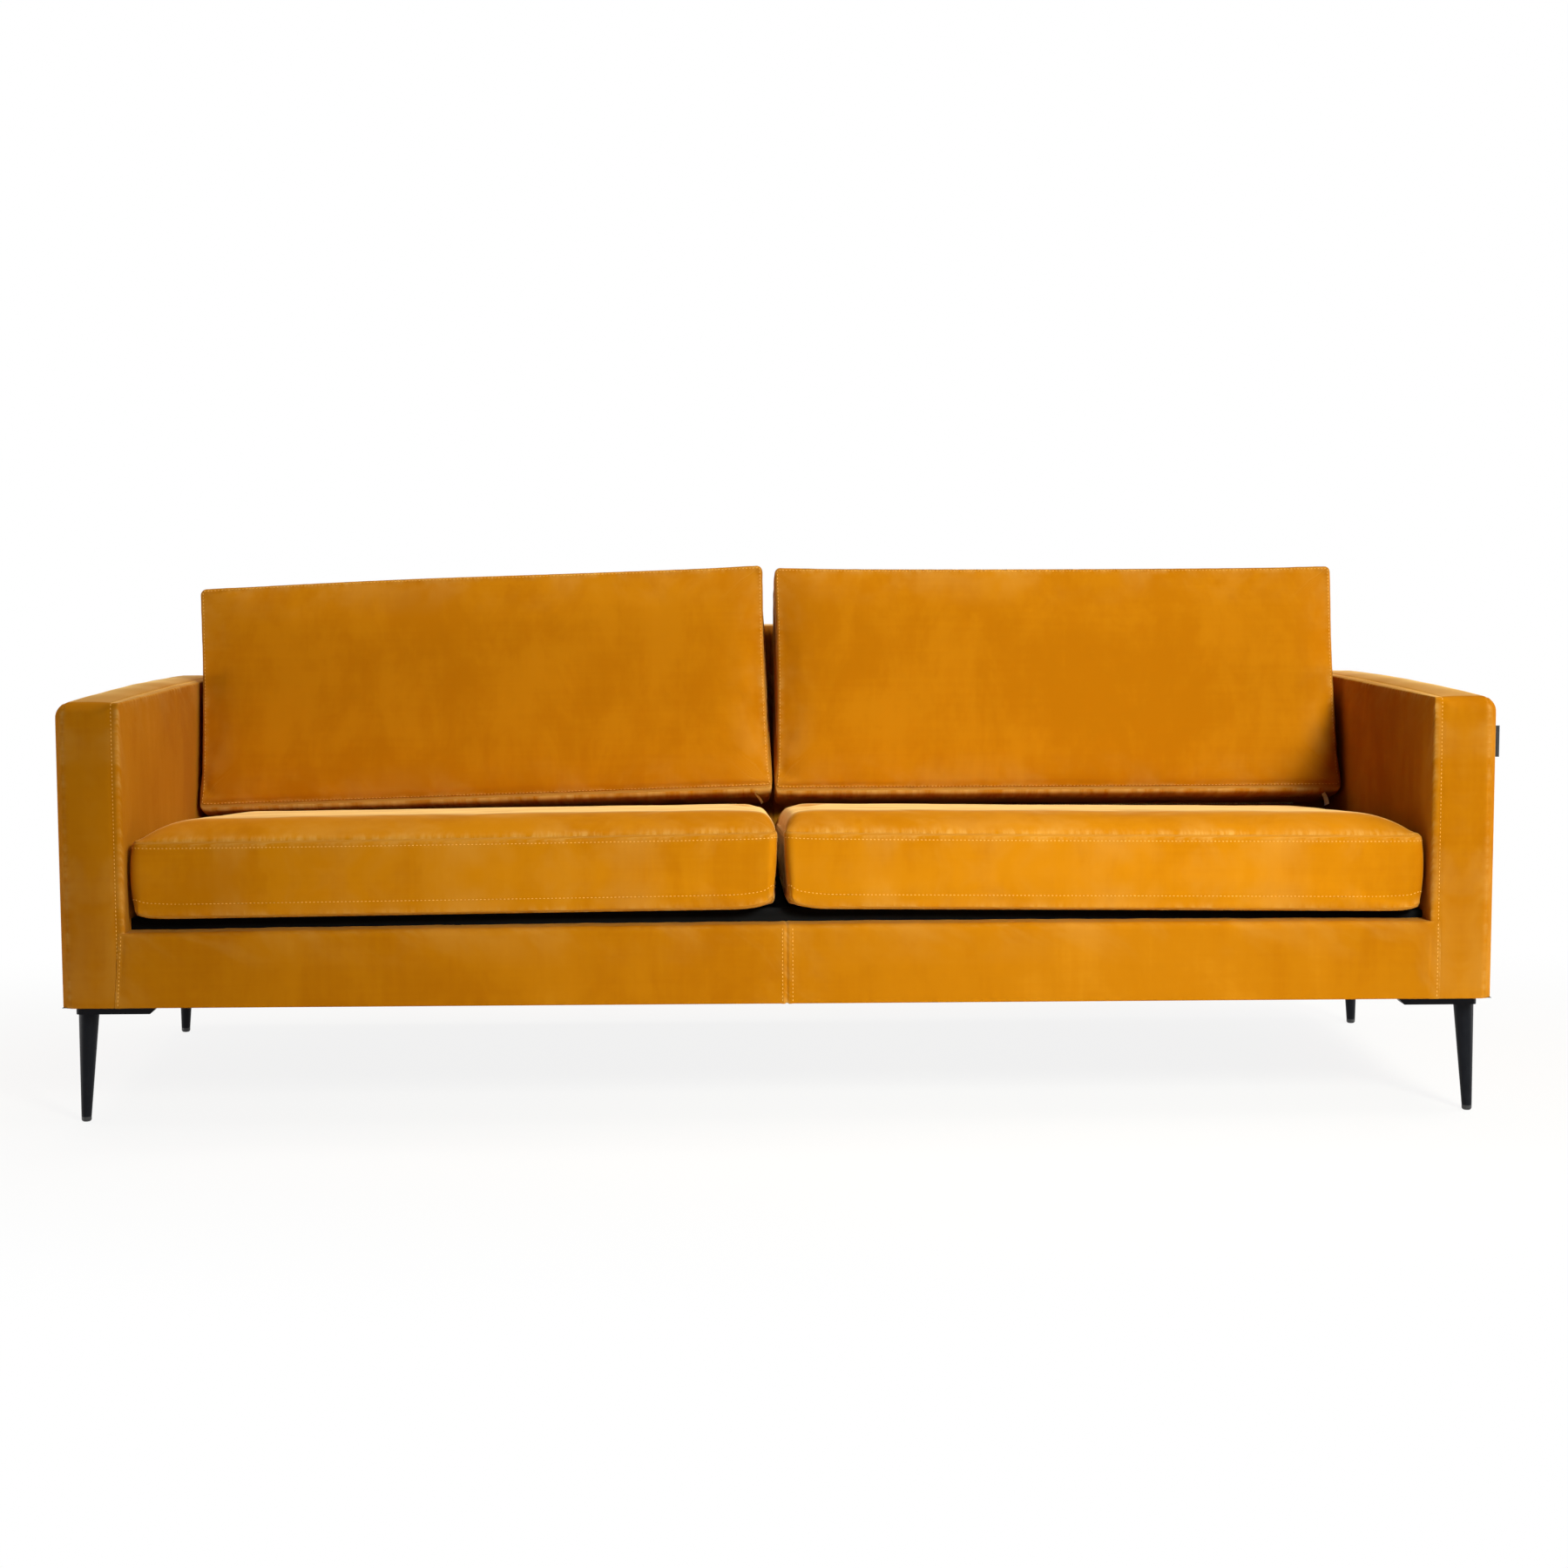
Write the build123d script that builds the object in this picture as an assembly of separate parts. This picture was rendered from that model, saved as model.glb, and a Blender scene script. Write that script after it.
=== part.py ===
"""A two-cushion velvet sofa on slim metal legs, built as its real pieces.

Millimetres. The origin is on the floor under the middle of the sofa, +Z is up and the sofa faces -Y.
Left and right are as seen from the front, so left is -X. Each piece is written to parts/NODE.step.
"""

import math
import os

from build123d import *

# Overall sizes
overall_width = 2190.0
overall_depth = 880.0
arm_width = 100.0
arm_top = 650.0
back_top = 740.0
base_bottom = 186.0

# Covers, foam and boards
cover_t = 2.0
dust_cover_t = 1.5
soft_gap = 0.3
arm_foam_inner = 20.0
arm_foam_top = 20.0
arm_foam_front = 20.0
arm_wadding = 6.0
arm_round = 16.0
panel_t = 4.0
post_depth = 36.0
arm_top_rail_height = 40.0
arm_bottom_rail_height = 70.0

# Seat base
rail_board_t = 22.0
rail_end_top = 309.0
rail_arch = 9.0
rail_foam_top = 10.0
rail_round = 12.0
end_board_height = 90.0
stretcher_width = 40.0
stretcher_height = 60.0
corner_block_size = 70.0
corner_block_height = 70.0

# Deck and springs
seat_tilt = 2.5
seat_roll = 0.58
seat_rail_gap = 10.0
deck_cloth_t = 1.5
deck_pad_t = 15.0
deck_end_gap = 2.0
wire_radius = 2.0
spring_count = 10
spring_width = 50.0
spring_pitch = 26.0
spring_leg = 34.0
spring_bend = 0.46
clip_width = 16.0
clip_length = 18.0
clip_t = 1.5
wire_fit = 0.2

# Back frame
back_lean = 14.5
back_foam = 25.0
back_pad_above_seat = 11.0
back_round = 16.0
stile_width = 40.0
stile_foot_depth = 150.0
top_rail_height = 30.0
bottom_rail_height = 90.0
web_t = 1.5
web_width = 60.0
web_count = 4

# Seat cushions
cushion_side_gap = 10.0
centre_gap = 5.0
seat_setback = 8.0
seat_under_back = 78.4
seat_border_front = 120.0
seat_border_rear = 101.0
seat_crown = 28.0
seat_crown_reach = 170.0
seat_draw = 4.0
seat_corner = 28.0

# Back cushions
back_height = 405.0
back_border = 140.0
back_crown = 16.0
back_flat = 65.0
back_draw = 4.0
back_corner = 18.0
back_from_rear = 345.0
back_above_seat = 16.0
left_back_roll = 1.7
left_back_lift = 5.0

# Shares of a crown's reach in from the seam, and the share of its rise that it has there
crown_steps = [(0.0, 0.0), (14 / 170, 0.34), (45 / 170, 0.68), (100 / 170, 0.92), (1.0, 1.0)]

# Zips
zip_end_gap = 61.25
zip_tape_width = 24.0
zip_tape_t = 1.2
zip_chain_width = 5.0
zip_chain_t = 2.0
zip_fit = 0.4
slider_length = 12.0
slider_width = 9.0
slider_wall = 1.6
pull_length = 22.0
pull_width = 5.0
back_zip_from_rear = 30.0

# Legs
leg_top_radius = 15.5
leg_tip_radius = 7.75
leg_side_inset = 28.0
leg_front_inset = 64.0
leg_rear_inset = 89.0
leg_splay = 7.0
glide_height = 8.0
glide_round = 4.0
bracket_t = 17.5
bracket_length = 130.0
bracket_width = 36.0
bracket_edge = 17.0
bracket_chamfer = 16.0
bracket_corner = 8.0

# Fasteners
screw_radius = 2.2
screw_head_radius = 4.5
screw_head_height = 2.5
screw_length = 44.0
screw_fit = 0.2
screw_near = 36.0
screw_far = 82.0
screw_offset = 8.0
bolt_radius = 4.0
bolt_head_radius = 9.0
bolt_head_height = 6.0
bolt_grip = 40.0
bolt_from_front = 174.0
bolt_from_rear = 40.0

# Labels
tab_height = 48.0
tab_below_top = 45.0
tab_reach = 7.0
tab_t = 1.2
tab_behind_front = 20.0
care_length = 22.0
care_width = 24.0
care_t = 0.5
care_from_end = 14.0
care_lean = 25.0

# Where the layers lie, worked out from the sizes above
half_width = overall_width / 2
half_depth = overall_depth / 2
seat_half = half_width - arm_width
frame_bottom = base_bottom + dust_cover_t
frame_in = seat_half + cover_t + arm_foam_inner
frame_out = half_width - cover_t - arm_wadding
frame_front = -half_depth + cover_t + arm_foam_front
frame_rear = half_depth - cover_t - arm_wadding
frame_top = arm_top - cover_t - arm_foam_top
timber_in = frame_in + panel_t
timber_out = frame_out - panel_t
rail_rear = frame_front + rail_board_t
spring_rail_rear = rail_rear + rail_board_t
rail_board_top = rail_end_top - cover_t - rail_foam_top
rail_half = seat_half - soft_gap
panel_front_y = half_depth - cover_t - panel_t
stile_rear = panel_front_y - rail_board_t
stile_front = stile_rear - stile_foot_depth
rear_rail_front = stile_front - rail_board_t
end_top = frame_bottom + end_board_height
seat_outer = seat_half - cushion_side_gap
cushion_width = seat_outer - centre_gap / 2
cushion_middle = (seat_outer + centre_gap / 2) / 2
seat_front = -half_depth + seat_setback
seat_edge_z = rail_end_top + seat_rail_gap
back_front_y = half_depth - back_from_rear
back_bottom_z = seat_edge_z + seat_border_front + back_above_seat
back_pad_bottom = seat_edge_z + back_pad_above_seat
leg_top = base_bottom - bracket_t
tab_bottom = arm_top - tab_below_top - tab_height
zip_length = cushion_width - 2 * zip_end_gap
slider_height = zip_chain_t + zip_fit + slider_wall
cut_over = 1.0
deck_reach = 200.0

tilt = math.radians(seat_tilt)
seat_depth = (back_front_y + seat_under_back - seat_front) / math.cos(tilt)
roll_slope = math.tan(math.radians(seat_roll))
lean = math.radians(back_lean)
lean_slope = math.tan(lean)

LEFT, RIGHT = -1, 1
SIDES = {"left": LEFT, "right": RIGHT}
FRONT, REAR = -1, 1
ENDS = {"front": FRONT, "rear": REAR}

parts = {}


# Simple shapes
def block(x0, x1, y0, y1, z0, z1):
    """A box between two corners, given in any order along each axis."""
    middle = Pos((x0 + x1) / 2, (y0 + y1) / 2, (z0 + z1) / 2)
    return middle * Box(abs(x1 - x0), abs(y1 - y0), abs(z1 - z0))


def side_block(side, x0, x1, y0, y1, z0, z1):
    """A box given for the right side, mirrored to the left where side is LEFT."""
    return block(side * x0, side * x1, y0, y1, z0, z1)


def prism_along_x(profile, x0, x1):
    """A profile of (y, z) points carried from x0 to x1."""
    outline = Polyline(*[(x0, y, z) for y, z in profile], close=True)
    return extrude(make_face(outline), amount=x1 - x0, dir=(1, 0, 0))


def prism_along_y(profile, y0, y1):
    """A profile of (x, z) points carried from y0 to y1."""
    outline = Polyline(*[(x, y0, z) for x, z in profile], close=True)
    return extrude(make_face(outline), amount=y1 - y0, dir=(0, 1, 0))


def rod(start, direction, radius, length):
    """A round bar from start along direction."""
    plane = Plane(origin=start, z_dir=direction)
    return extrude(plane * Circle(radius), amount=length)


def drill(body, holes):
    """A body with bores taken out of it."""
    for hole in holes:
        body -= hole
    return body


def group(shapes):
    """Separate solids that share one node."""
    return Compound(children=[s for shape in shapes for s in shape.solids()])


# Placing frames
seat_plane = Plane(
    origin=(0, seat_front, seat_edge_z),
    x_dir=(1, 0, 0),
    z_dir=(0, math.sin(tilt), math.cos(tilt)),
)
seat_frame = seat_plane.location


def back_plane_y(z, behind=0.0):
    """Y of the leaning plane on which the back cushions rest, moved back by a distance square to it."""
    rest_y = back_front_y + back_border * math.cos(lean)
    rest_z = back_bottom_z - back_border * math.sin(lean)
    return rest_y + (z - rest_z) * lean_slope + behind / math.cos(lean)


# Fastener positions
def leg_centre(side, end):
    """Middle of a leg's top, seen from above."""
    inset = leg_front_inset if end == FRONT else leg_rear_inset
    return side * (half_width - leg_side_inset), end * (half_depth - inset)


def bracket_screw_points(side, end):
    """Screws in the bracket's two wings: two along X and two along Y."""
    x, y = leg_centre(side, end)
    along_x = [(x - side * d, y - end * screw_offset) for d in (screw_near, screw_far)]
    along_y = [(x, y - end * d) for d in (screw_near, screw_far)]
    return along_x + along_y


def screw_holes(side, end):
    """Clearance bores for the bracket screws of one leg."""
    length = screw_length + cut_over
    return [
        rod((x, y, leg_top - cut_over), (0, 0, 1), screw_radius + screw_fit, length + cut_over)
        for x, y in bracket_screw_points(side, end)
    ]


bolt_z = frame_bottom + arm_bottom_rail_height / 2
bolt_ends = (spring_rail_rear + bolt_from_front, rear_rail_front - bolt_from_rear)
bolt_ys = [bolt_ends[0], sum(bolt_ends) / 2, bolt_ends[1]]
bolt_length = (timber_in - seat_half) + bolt_grip


def bolt_holes(side):
    """Clearance bores for the bolts that hold one arm to the base."""
    return [
        rod((side * (seat_half - cut_over), y, bolt_z), (side, 0, 0), bolt_radius + screw_fit,
            bolt_length + 2 * cut_over)
        for y in bolt_ys
    ]


def arm_holes(side):
    """Every bore that can meet one arm's timber and boards."""
    return screw_holes(side, FRONT) + screw_holes(side, REAR) + bolt_holes(side)


# Arms
def arm_form(side, inset):
    """One arm's outside, shrunk by inset, with round outer and upper edges and a sharp inner edge."""
    inner, outer, top = side * (seat_half + inset), side * (half_width - inset), arm_top - inset
    body = block(inner, outer, -half_depth + inset, half_depth - inset, base_bottom, top)
    rounded = [
        e
        for e in body.edges()
        if (abs(e.center().Z - top) < soft_gap and abs(e.center().X - inner) > soft_gap)
        or (abs(e.center().X - outer) < soft_gap and abs(e.center().Z - base_bottom) > soft_gap)
    ]
    return fillet(rounded, arm_round - inset)


def end_board_pocket(side):
    """The room that the base end board takes out of the arm's inner foam and cover."""
    return side_block(side, seat_half - cut_over, frame_in, frame_front - soft_gap, stile_rear + soft_gap,
                      base_bottom - cut_over, end_top + soft_gap)


def dust_sheet(grow):
    """The cloth under the base, grown by a margin, with corners that follow the arm covers."""
    reach_x = half_width - cover_t - soft_gap + grow
    reach_y = half_depth - cover_t - soft_gap + grow
    sheet = block(-reach_x, reach_x, -reach_y, reach_y, base_bottom - grow, frame_bottom + grow)
    return fillet(sheet.edges().filter_by(Axis.Z), arm_round - cover_t - soft_gap)


def build_arm(name, side):
    """Timber, boards, foam and cover of one arm."""
    rails_y = (frame_front + post_depth, frame_rear - post_depth)
    uprights = [
        side_block(side, timber_in, timber_out, y0, y1, frame_bottom, frame_top)
        for y0, y1 in ((frame_front, rails_y[0]), (rails_y[1], frame_rear))
    ]
    top_rail = side_block(side, timber_in, timber_out, *rails_y, frame_top - arm_top_rail_height, frame_top)
    posts = [drill(upright, arm_holes(side)) for upright in uprights]
    parts[f"arm_posts_{name}"] = group([*posts, top_rail])
    bottom_rail = side_block(side, timber_in, timber_out, *rails_y, frame_bottom,
                             frame_bottom + arm_bottom_rail_height)
    parts[f"arm_bottom_rail_{name}"] = drill(bottom_rail, arm_holes(side))
    inner_panel = side_block(side, frame_in, timber_in, frame_front, frame_rear, frame_bottom, frame_top)
    parts[f"arm_inner_panel_{name}"] = drill(inner_panel, arm_holes(side))
    outer_panel = side_block(side, timber_out, frame_out, frame_front, frame_rear, frame_bottom, frame_top)
    parts[f"arm_outer_panel_{name}"] = drill(outer_panel, arm_holes(side))
    skin = arm_form(side, cover_t + soft_gap)
    sheets = [
        side_block(side, seat_half, half_width, -half_depth, half_depth, frame_top, arm_top),
        side_block(side, seat_half, frame_in, -half_depth, half_depth, frame_bottom, frame_top)
        - end_board_pocket(side),
        side_block(side, frame_out, half_width, -half_depth, half_depth, frame_bottom, frame_top),
        side_block(side, frame_in, frame_out, -half_depth, frame_front, frame_bottom, frame_top),
        side_block(side, frame_in, frame_out, frame_rear, half_depth, frame_bottom, frame_top),
    ]
    parts[f"arm_foam_{name}"] = group([skin & sheet for sheet in sheets])
    cover = arm_form(side, 0) - arm_form(side, cover_t) - end_board_pocket(side)
    parts[f"arm_cover_{name}"] = cover - dust_sheet(soft_gap / 2)


# Seat base
def rail_form(inset, bottom):
    """The padded front rail, with a gently arched top, shrunk by inset at its front and top."""
    end_z, middle_z = rail_end_top - inset, rail_end_top + rail_arch - inset
    front = -half_depth + inset
    corners = [(-rail_half, front, end_z), (-rail_half, front, bottom),
               (rail_half, front, bottom), (rail_half, front, end_z)]
    outline = Polyline(*corners) + ThreePointArc(corners[0], (0, front, middle_z), corners[3])
    body = extrude(make_face(outline), amount=rail_rear - front, dir=(0, 1, 0))
    arcs = [e for e in body.edges() if e.geom_type == GeomType.CIRCLE]
    top_front = [e for e in arcs if e.center().Y < rail_rear - cut_over]
    return fillet(top_front, rail_round - inset)


def build_front_rail():
    """Board, foam and cover of the front rail."""
    board = block(-seat_half, seat_half, frame_front, rail_rear, frame_bottom, rail_board_top)
    parts["front_board"] = board
    parts["front_rail_foam"] = rail_form(cover_t + soft_gap, frame_bottom) - board
    parts["front_rail_cover"] = rail_form(0, base_bottom) - rail_form(cover_t, base_bottom)


def deck_height(x):
    """Height of the deck's top above the seat plane: two gentle slopes that rise to the middle."""
    return (seat_outer - abs(x)) * roll_slope - soft_gap


pad_bottom = deck_height(rail_half) - deck_cloth_t - deck_pad_t
wire_z = pad_bottom - soft_gap - clip_t - wire_radius
spring_seat_z = wire_z - wire_radius - soft_gap


def above_spring_seat():
    """Everything over the slope on which the spring clips sit."""
    return seat_frame * block(-half_width, half_width, -overall_depth, overall_depth, spring_seat_z,
                              spring_seat_z + deck_reach)


def along_seat(y):
    """Distance back along the seat's slope of a place y."""
    return (y - seat_front) / math.cos(tilt)


def build_base():
    """Rails, end boards, stretcher and blocks that tie the two arms together."""
    rails = [
        block(-seat_half, seat_half, y0, y1, frame_bottom, seat_edge_z) - above_spring_seat()
        for y0, y1 in ((rail_rear, spring_rail_rear), (rear_rail_front, stile_front))
    ]
    parts["spring_rails"] = group(rails)
    parts["centre_stretcher"] = block(-stretcher_width / 2, stretcher_width / 2, spring_rail_rear,
                                      rear_rail_front, frame_bottom, frame_bottom + stretcher_height)
    blocks = []
    for name, side in SIDES.items():
        board = side_block(side, seat_half, frame_in, frame_front, stile_rear, frame_bottom, end_top)
        parts[f"base_end_board_{name}"] = drill(board, arm_holes(side))
        corner = side_block(side, seat_half - corner_block_size, seat_half, spring_rail_rear,
                            spring_rail_rear + corner_block_size, frame_bottom,
                            frame_bottom + corner_block_height)
        blocks.append(drill(corner, screw_holes(side, FRONT)))
    parts["corner_blocks"] = group(blocks)
    sheet = dust_sheet(0)
    for side in SIDES.values():
        sheet = drill(sheet, screw_holes(side, FRONT) + screw_holes(side, REAR))
    parts["dust_cover"] = sheet


def build_deck():
    """Pad and cloth over the springs, in two gentle slopes that carry the seat cushions."""
    y0 = along_seat(rail_rear + deck_end_gap)
    y1 = along_seat(stile_front - deck_end_gap)
    edge, middle = deck_height(rail_half), deck_height(0)
    cloth = [(-rail_half, edge), (0, middle), (rail_half, edge), (rail_half, edge - deck_cloth_t),
             (0, middle - deck_cloth_t), (-rail_half, edge - deck_cloth_t)]
    pad = [(-rail_half, edge - deck_cloth_t), (0, middle - deck_cloth_t), (rail_half, edge - deck_cloth_t),
           (rail_half, pad_bottom), (-rail_half, pad_bottom)]
    parts["deck_cloth"] = seat_frame * prism_along_y(cloth, y0, y1)
    parts["deck_pad"] = seat_frame * prism_along_y(pad, y0, y1)


def zigzag_spring(start, end):
    """One spring: a straight leg, square loops with round corners across the run, and a straight leg."""
    run = end - start - 2 * spring_leg
    loops = 2 * round(run / spring_pitch / 2)
    step = run / loops
    points = [(0, start, wire_z), (0, start + spring_leg, wire_z)]
    for i in range(loops):
        x = spring_width / 2 * (1 if i % 2 == 0 else -1)
        y = start + spring_leg + i * step
        points += [(x, y, wire_z), (x, y + step, wire_z)]
    points += [(0, end - spring_leg, wire_z), (0, end, wire_z)]
    path = FilletPolyline(*points, radius=step * spring_bend)
    section = Plane(origin=path @ 0, z_dir=path % 0) * Circle(wire_radius)
    return sweep(section, path=path)


def build_springs():
    """Zigzag springs from the front spring rail to the rear one, each end under a clip."""
    front_y = along_seat((rail_rear + spring_rail_rear) / 2)
    rear_y = along_seat((rear_rail_front + stile_front) / 2)
    spacing = 2 * seat_half / spring_count
    spring = zigzag_spring(front_y - clip_length / 2, rear_y + clip_length / 2)
    clip_top = pad_bottom - soft_gap
    springs, clips = [], []
    for i in range(spring_count):
        x = -seat_half + (i + 0.5) * spacing
        springs.append(seat_frame * (Pos(x, 0, 0) * spring))
        for y in (front_y, rear_y):
            body = block(x - clip_width / 2, x + clip_width / 2, y - clip_length / 2, y + clip_length / 2,
                         spring_seat_z, clip_top)
            bore = rod((x, y - clip_length, wire_z), (0, 1, 0), wire_radius + wire_fit, 2 * clip_length)
            clips.append(seat_frame * (body - bore))
    parts["seat_springs"] = group(springs)
    parts["spring_clips"] = group(clips)


# Back
def back_form(inset, bottom, rear):
    """The padded back between the arms, shrunk by inset at its leaning front and its top."""
    top = back_top - inset
    behind = inset + soft_gap
    profile = [(back_plane_y(bottom, behind), bottom), (back_plane_y(top, behind), top),
               (rear, top), (rear, bottom)]
    body = prism_along_x(profile, -rail_half, rail_half)
    front_top = body.edges().filter_by(Axis.X).group_by(Axis.Z)[-1].sort_by(Axis.Y)[0]
    return fillet(front_top, max(back_round - inset, soft_gap))


def build_back():
    """Stiles, rails, webbing, foam, board and covers of the back."""
    foam_out = cover_t + soft_gap
    foam_in = foam_out + back_foam
    stile_off = foam_in + web_t + soft_gap
    rail_top = back_top - foam_in
    stile_top = rail_top - top_rail_height
    knee_z = stile_top - (back_plane_y(stile_top, stile_off) - stile_front) / lean_slope
    profile = [(stile_front, frame_bottom), (stile_rear, frame_bottom), (stile_rear, stile_top),
               (back_plane_y(stile_top, stile_off), stile_top), (stile_front, knee_z)]
    reach = seat_half - stile_width / 2
    stiles = []
    for x in (-reach, 0, reach):
        stile = prism_along_x(profile, x - stile_width / 2, x + stile_width / 2)
        for side in SIDES.values():
            stile = drill(stile, screw_holes(side, REAR))
        stiles.append(stile)
    parts["back_stiles"] = group(stiles)
    rails = [
        block(-seat_half, seat_half, back_plane_y(rail_top, stile_off), panel_front_y, stile_top, rail_top),
        block(-seat_half, seat_half, stile_rear, panel_front_y, frame_bottom,
              frame_bottom + bottom_rail_height),
    ]
    parts["back_rails"] = group(rails)
    parts["outside_back_panel"] = block(-rail_half, rail_half, panel_front_y, panel_front_y + panel_t,
                                        frame_bottom, back_top - foam_out)
    parts["outside_back_cover"] = block(-rail_half, rail_half, half_depth - cover_t, half_depth, base_bottom,
                                        back_top - foam_out)
    parts["back_foam"] = (back_form(foam_out, back_pad_bottom, panel_front_y)
                          - back_form(foam_in, back_pad_bottom, panel_front_y))
    parts["inside_back_cover"] = (back_form(0, back_pad_bottom, half_depth)
                                  - back_form(cover_t, back_pad_bottom, half_depth))
    web_plane = Plane(origin=(0, stile_front, knee_z), x_dir=(1, 0, 0),
                      z_dir=(0, -math.cos(lean), math.sin(lean)))
    run = (stile_top - knee_z) / math.cos(lean)
    space = (run - web_count * web_width) / (web_count + 1)
    bands = []
    for i in range(web_count):
        y = space + i * (web_width + space)
        bands.append(web_plane.location * block(-rail_half, rail_half, y, y + web_width, 0, web_t))
    parts["back_webbing"] = group(bands)


# Cushions
def cushion_outline(width, depth, draw, corner, shrink, straight, height):
    """A closed outline with round corners. Its sides draw in between the corners, except one that is
    straight: FRONT or REAR. height gives z for a place along the depth."""
    hx, y0, y1 = width / 2 - shrink, shrink, depth - shrink
    mid = (y0 + y1) / 2
    bend = corner * (1 - math.sqrt(0.5))
    front_in = 0 if straight == FRONT else draw
    rear_in = 0 if straight == REAR else draw

    def point(x, y):
        return (x, y, height(y))

    def side(a, b, c):
        return ThreePointArc(point(*a), point(*b), point(*c))

    def straight_or_drawn(x0, x1, y, inward):
        if inward == 0:
            return Line(point(x0, y), point(x1, y))
        return side((x0, y), (0, y + inward), (x1, y))

    edges = [
        straight_or_drawn(-hx + corner, hx - corner, y0, front_in),
        side((hx - corner, y0), (hx - bend, y0 + bend), (hx, y0 + corner)),
        side((hx, y0 + corner), (hx - draw, mid), (hx, y1 - corner)),
        side((hx, y1 - corner), (hx - bend, y1 - bend), (hx - corner, y1)),
        straight_or_drawn(hx - corner, -hx + corner, y1, -rear_in),
        side((-hx + corner, y1), (-hx + bend, y1 - bend), (-hx, y1 - corner)),
        side((-hx, y1 - corner), (-hx + draw, mid), (-hx, y0 + corner)),
        side((-hx, y0 + corner), (-hx + bend, y0 + bend), (-hx + corner, y0)),
    ]
    return make_face(Wire(edges))


def cushion_form(width, depth, border_front, border_rear, crown, reach, draw, corner, straight, inset):
    """A boxed cushion lying flat on z = 0: a straight border, then a crown that rises in from the seam."""
    fall = (border_rear - border_front) / depth
    round_in = max(corner - inset, soft_gap)

    def section(shrink, level):
        return cushion_outline(width, depth, draw, round_in, inset + shrink, straight, level)

    sections = [section(0, lambda y: inset)]
    for inward, share in crown_steps:
        rise = share * crown - inset
        sections.append(section(inward * reach, lambda y, rise=rise: border_front + fall * y + rise))
    return loft(sections, ruled=True)


def zip_strip():
    """A zip's tape and chain, along x, lying on z = 0 with the chain up."""
    tape = block(-zip_length / 2, zip_length / 2, -zip_tape_width / 2, zip_tape_width / 2, 0, zip_tape_t)
    chain = block(-zip_length / 2, zip_length / 2, -zip_chain_width / 2, zip_chain_width / 2, zip_tape_t,
                  zip_tape_t + zip_chain_t)
    return tape + chain


def zip_slider():
    """A slider that straddles the chain at the zip's left end, with its pull tab."""
    x0 = -zip_length / 2
    x1 = x0 + slider_length
    half = slider_width / 2
    groove = zip_chain_width / 2 + zip_fit
    bottom = zip_tape_t + zip_fit
    groove_top = zip_tape_t + zip_chain_t + zip_fit
    top = zip_tape_t + slider_height
    body = block(x0, x1, -half, half, bottom, top)
    body -= block(x0 - cut_over, x1 + cut_over, -groove, groove, bottom - cut_over, groove_top)
    pull = block(x1, x1 + pull_length, -pull_width / 2, pull_width / 2, top - slider_wall, top)
    return body + pull


def build_cushion(kind, name, sizes, place, zip_place):
    """Cover, core, zip and slider of one cushion, put where it lies."""
    outer = cushion_form(*sizes, 0)
    parts[f"{kind}_cushion_cover_{name}"] = place * (outer - cushion_form(*sizes, cover_t))
    parts[f"{kind}_cushion_core_{name}"] = place * cushion_form(*sizes, cover_t + soft_gap)
    parts[f"{kind}_cushion_zip_{name}"] = place * (zip_place * zip_strip())
    parts[f"{kind}_zip_slider_{name}"] = place * (zip_place * zip_slider())


def build_seat_cushions():
    """Two seat cushions on the deck, each with its inner end a little higher."""
    sizes = (cushion_width, seat_depth, seat_border_front, seat_border_rear, seat_crown, seat_crown_reach,
             seat_draw, seat_corner, REAR)
    zip_plane = Plane(origin=(0, seat_depth, seat_border_rear / 2), x_dir=(1, 0, 0), z_dir=(0, 1, 0))
    for name, side in SIDES.items():
        middle_z = (seat_outer - cushion_middle) * roll_slope
        place = seat_frame * Pos(side * cushion_middle, 0, middle_z) * Rot(0, side * seat_roll, 0)
        build_cushion("seat", name, sizes, place, zip_plane.location)


def back_cushion_place(side):
    """Where a back cushion's bottom rear middle lies. The left one has slipped down at its outer end."""
    rear_z = back_bottom_z - back_border * math.sin(lean)
    plane = Plane(origin=(0, back_plane_y(rear_z), rear_z), x_dir=(1, 0, 0),
                  z_dir=(0, -math.cos(lean), math.sin(lean)))
    if side == RIGHT:
        return plane.location * Pos(cushion_middle, 0, 0)
    pivot = plane.location * Pos(-centre_gap / 2, left_back_lift, 0) * Rot(0, 0, left_back_roll)
    return pivot * Pos(-cushion_width / 2, 0, 0)


def build_back_cushions():
    """Two back cushions that lean on the back, each with a care label at its lower right corner."""
    reach = (back_height - back_flat) / 2
    sizes = (cushion_width, back_height, back_border, back_border, back_crown, reach, back_draw,
             back_corner, FRONT)
    zip_plane = Plane(origin=(0, 0, back_zip_from_rear), x_dir=(1, 0, 0), z_dir=(0, -1, 0))
    for name, side in SIDES.items():
        place = back_cushion_place(side)
        build_cushion("back", name, sizes, place, zip_plane.location)
        label = block(-care_t / 2, care_t / 2, -care_length, 0, -care_width, 0)
        hang = Pos(cushion_width / 2 - back_corner - care_from_end, -soft_gap, back_border - care_t)
        parts[f"care_label_{name}"] = place * (hang * Rot(0, 0, care_lean) * label)


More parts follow.
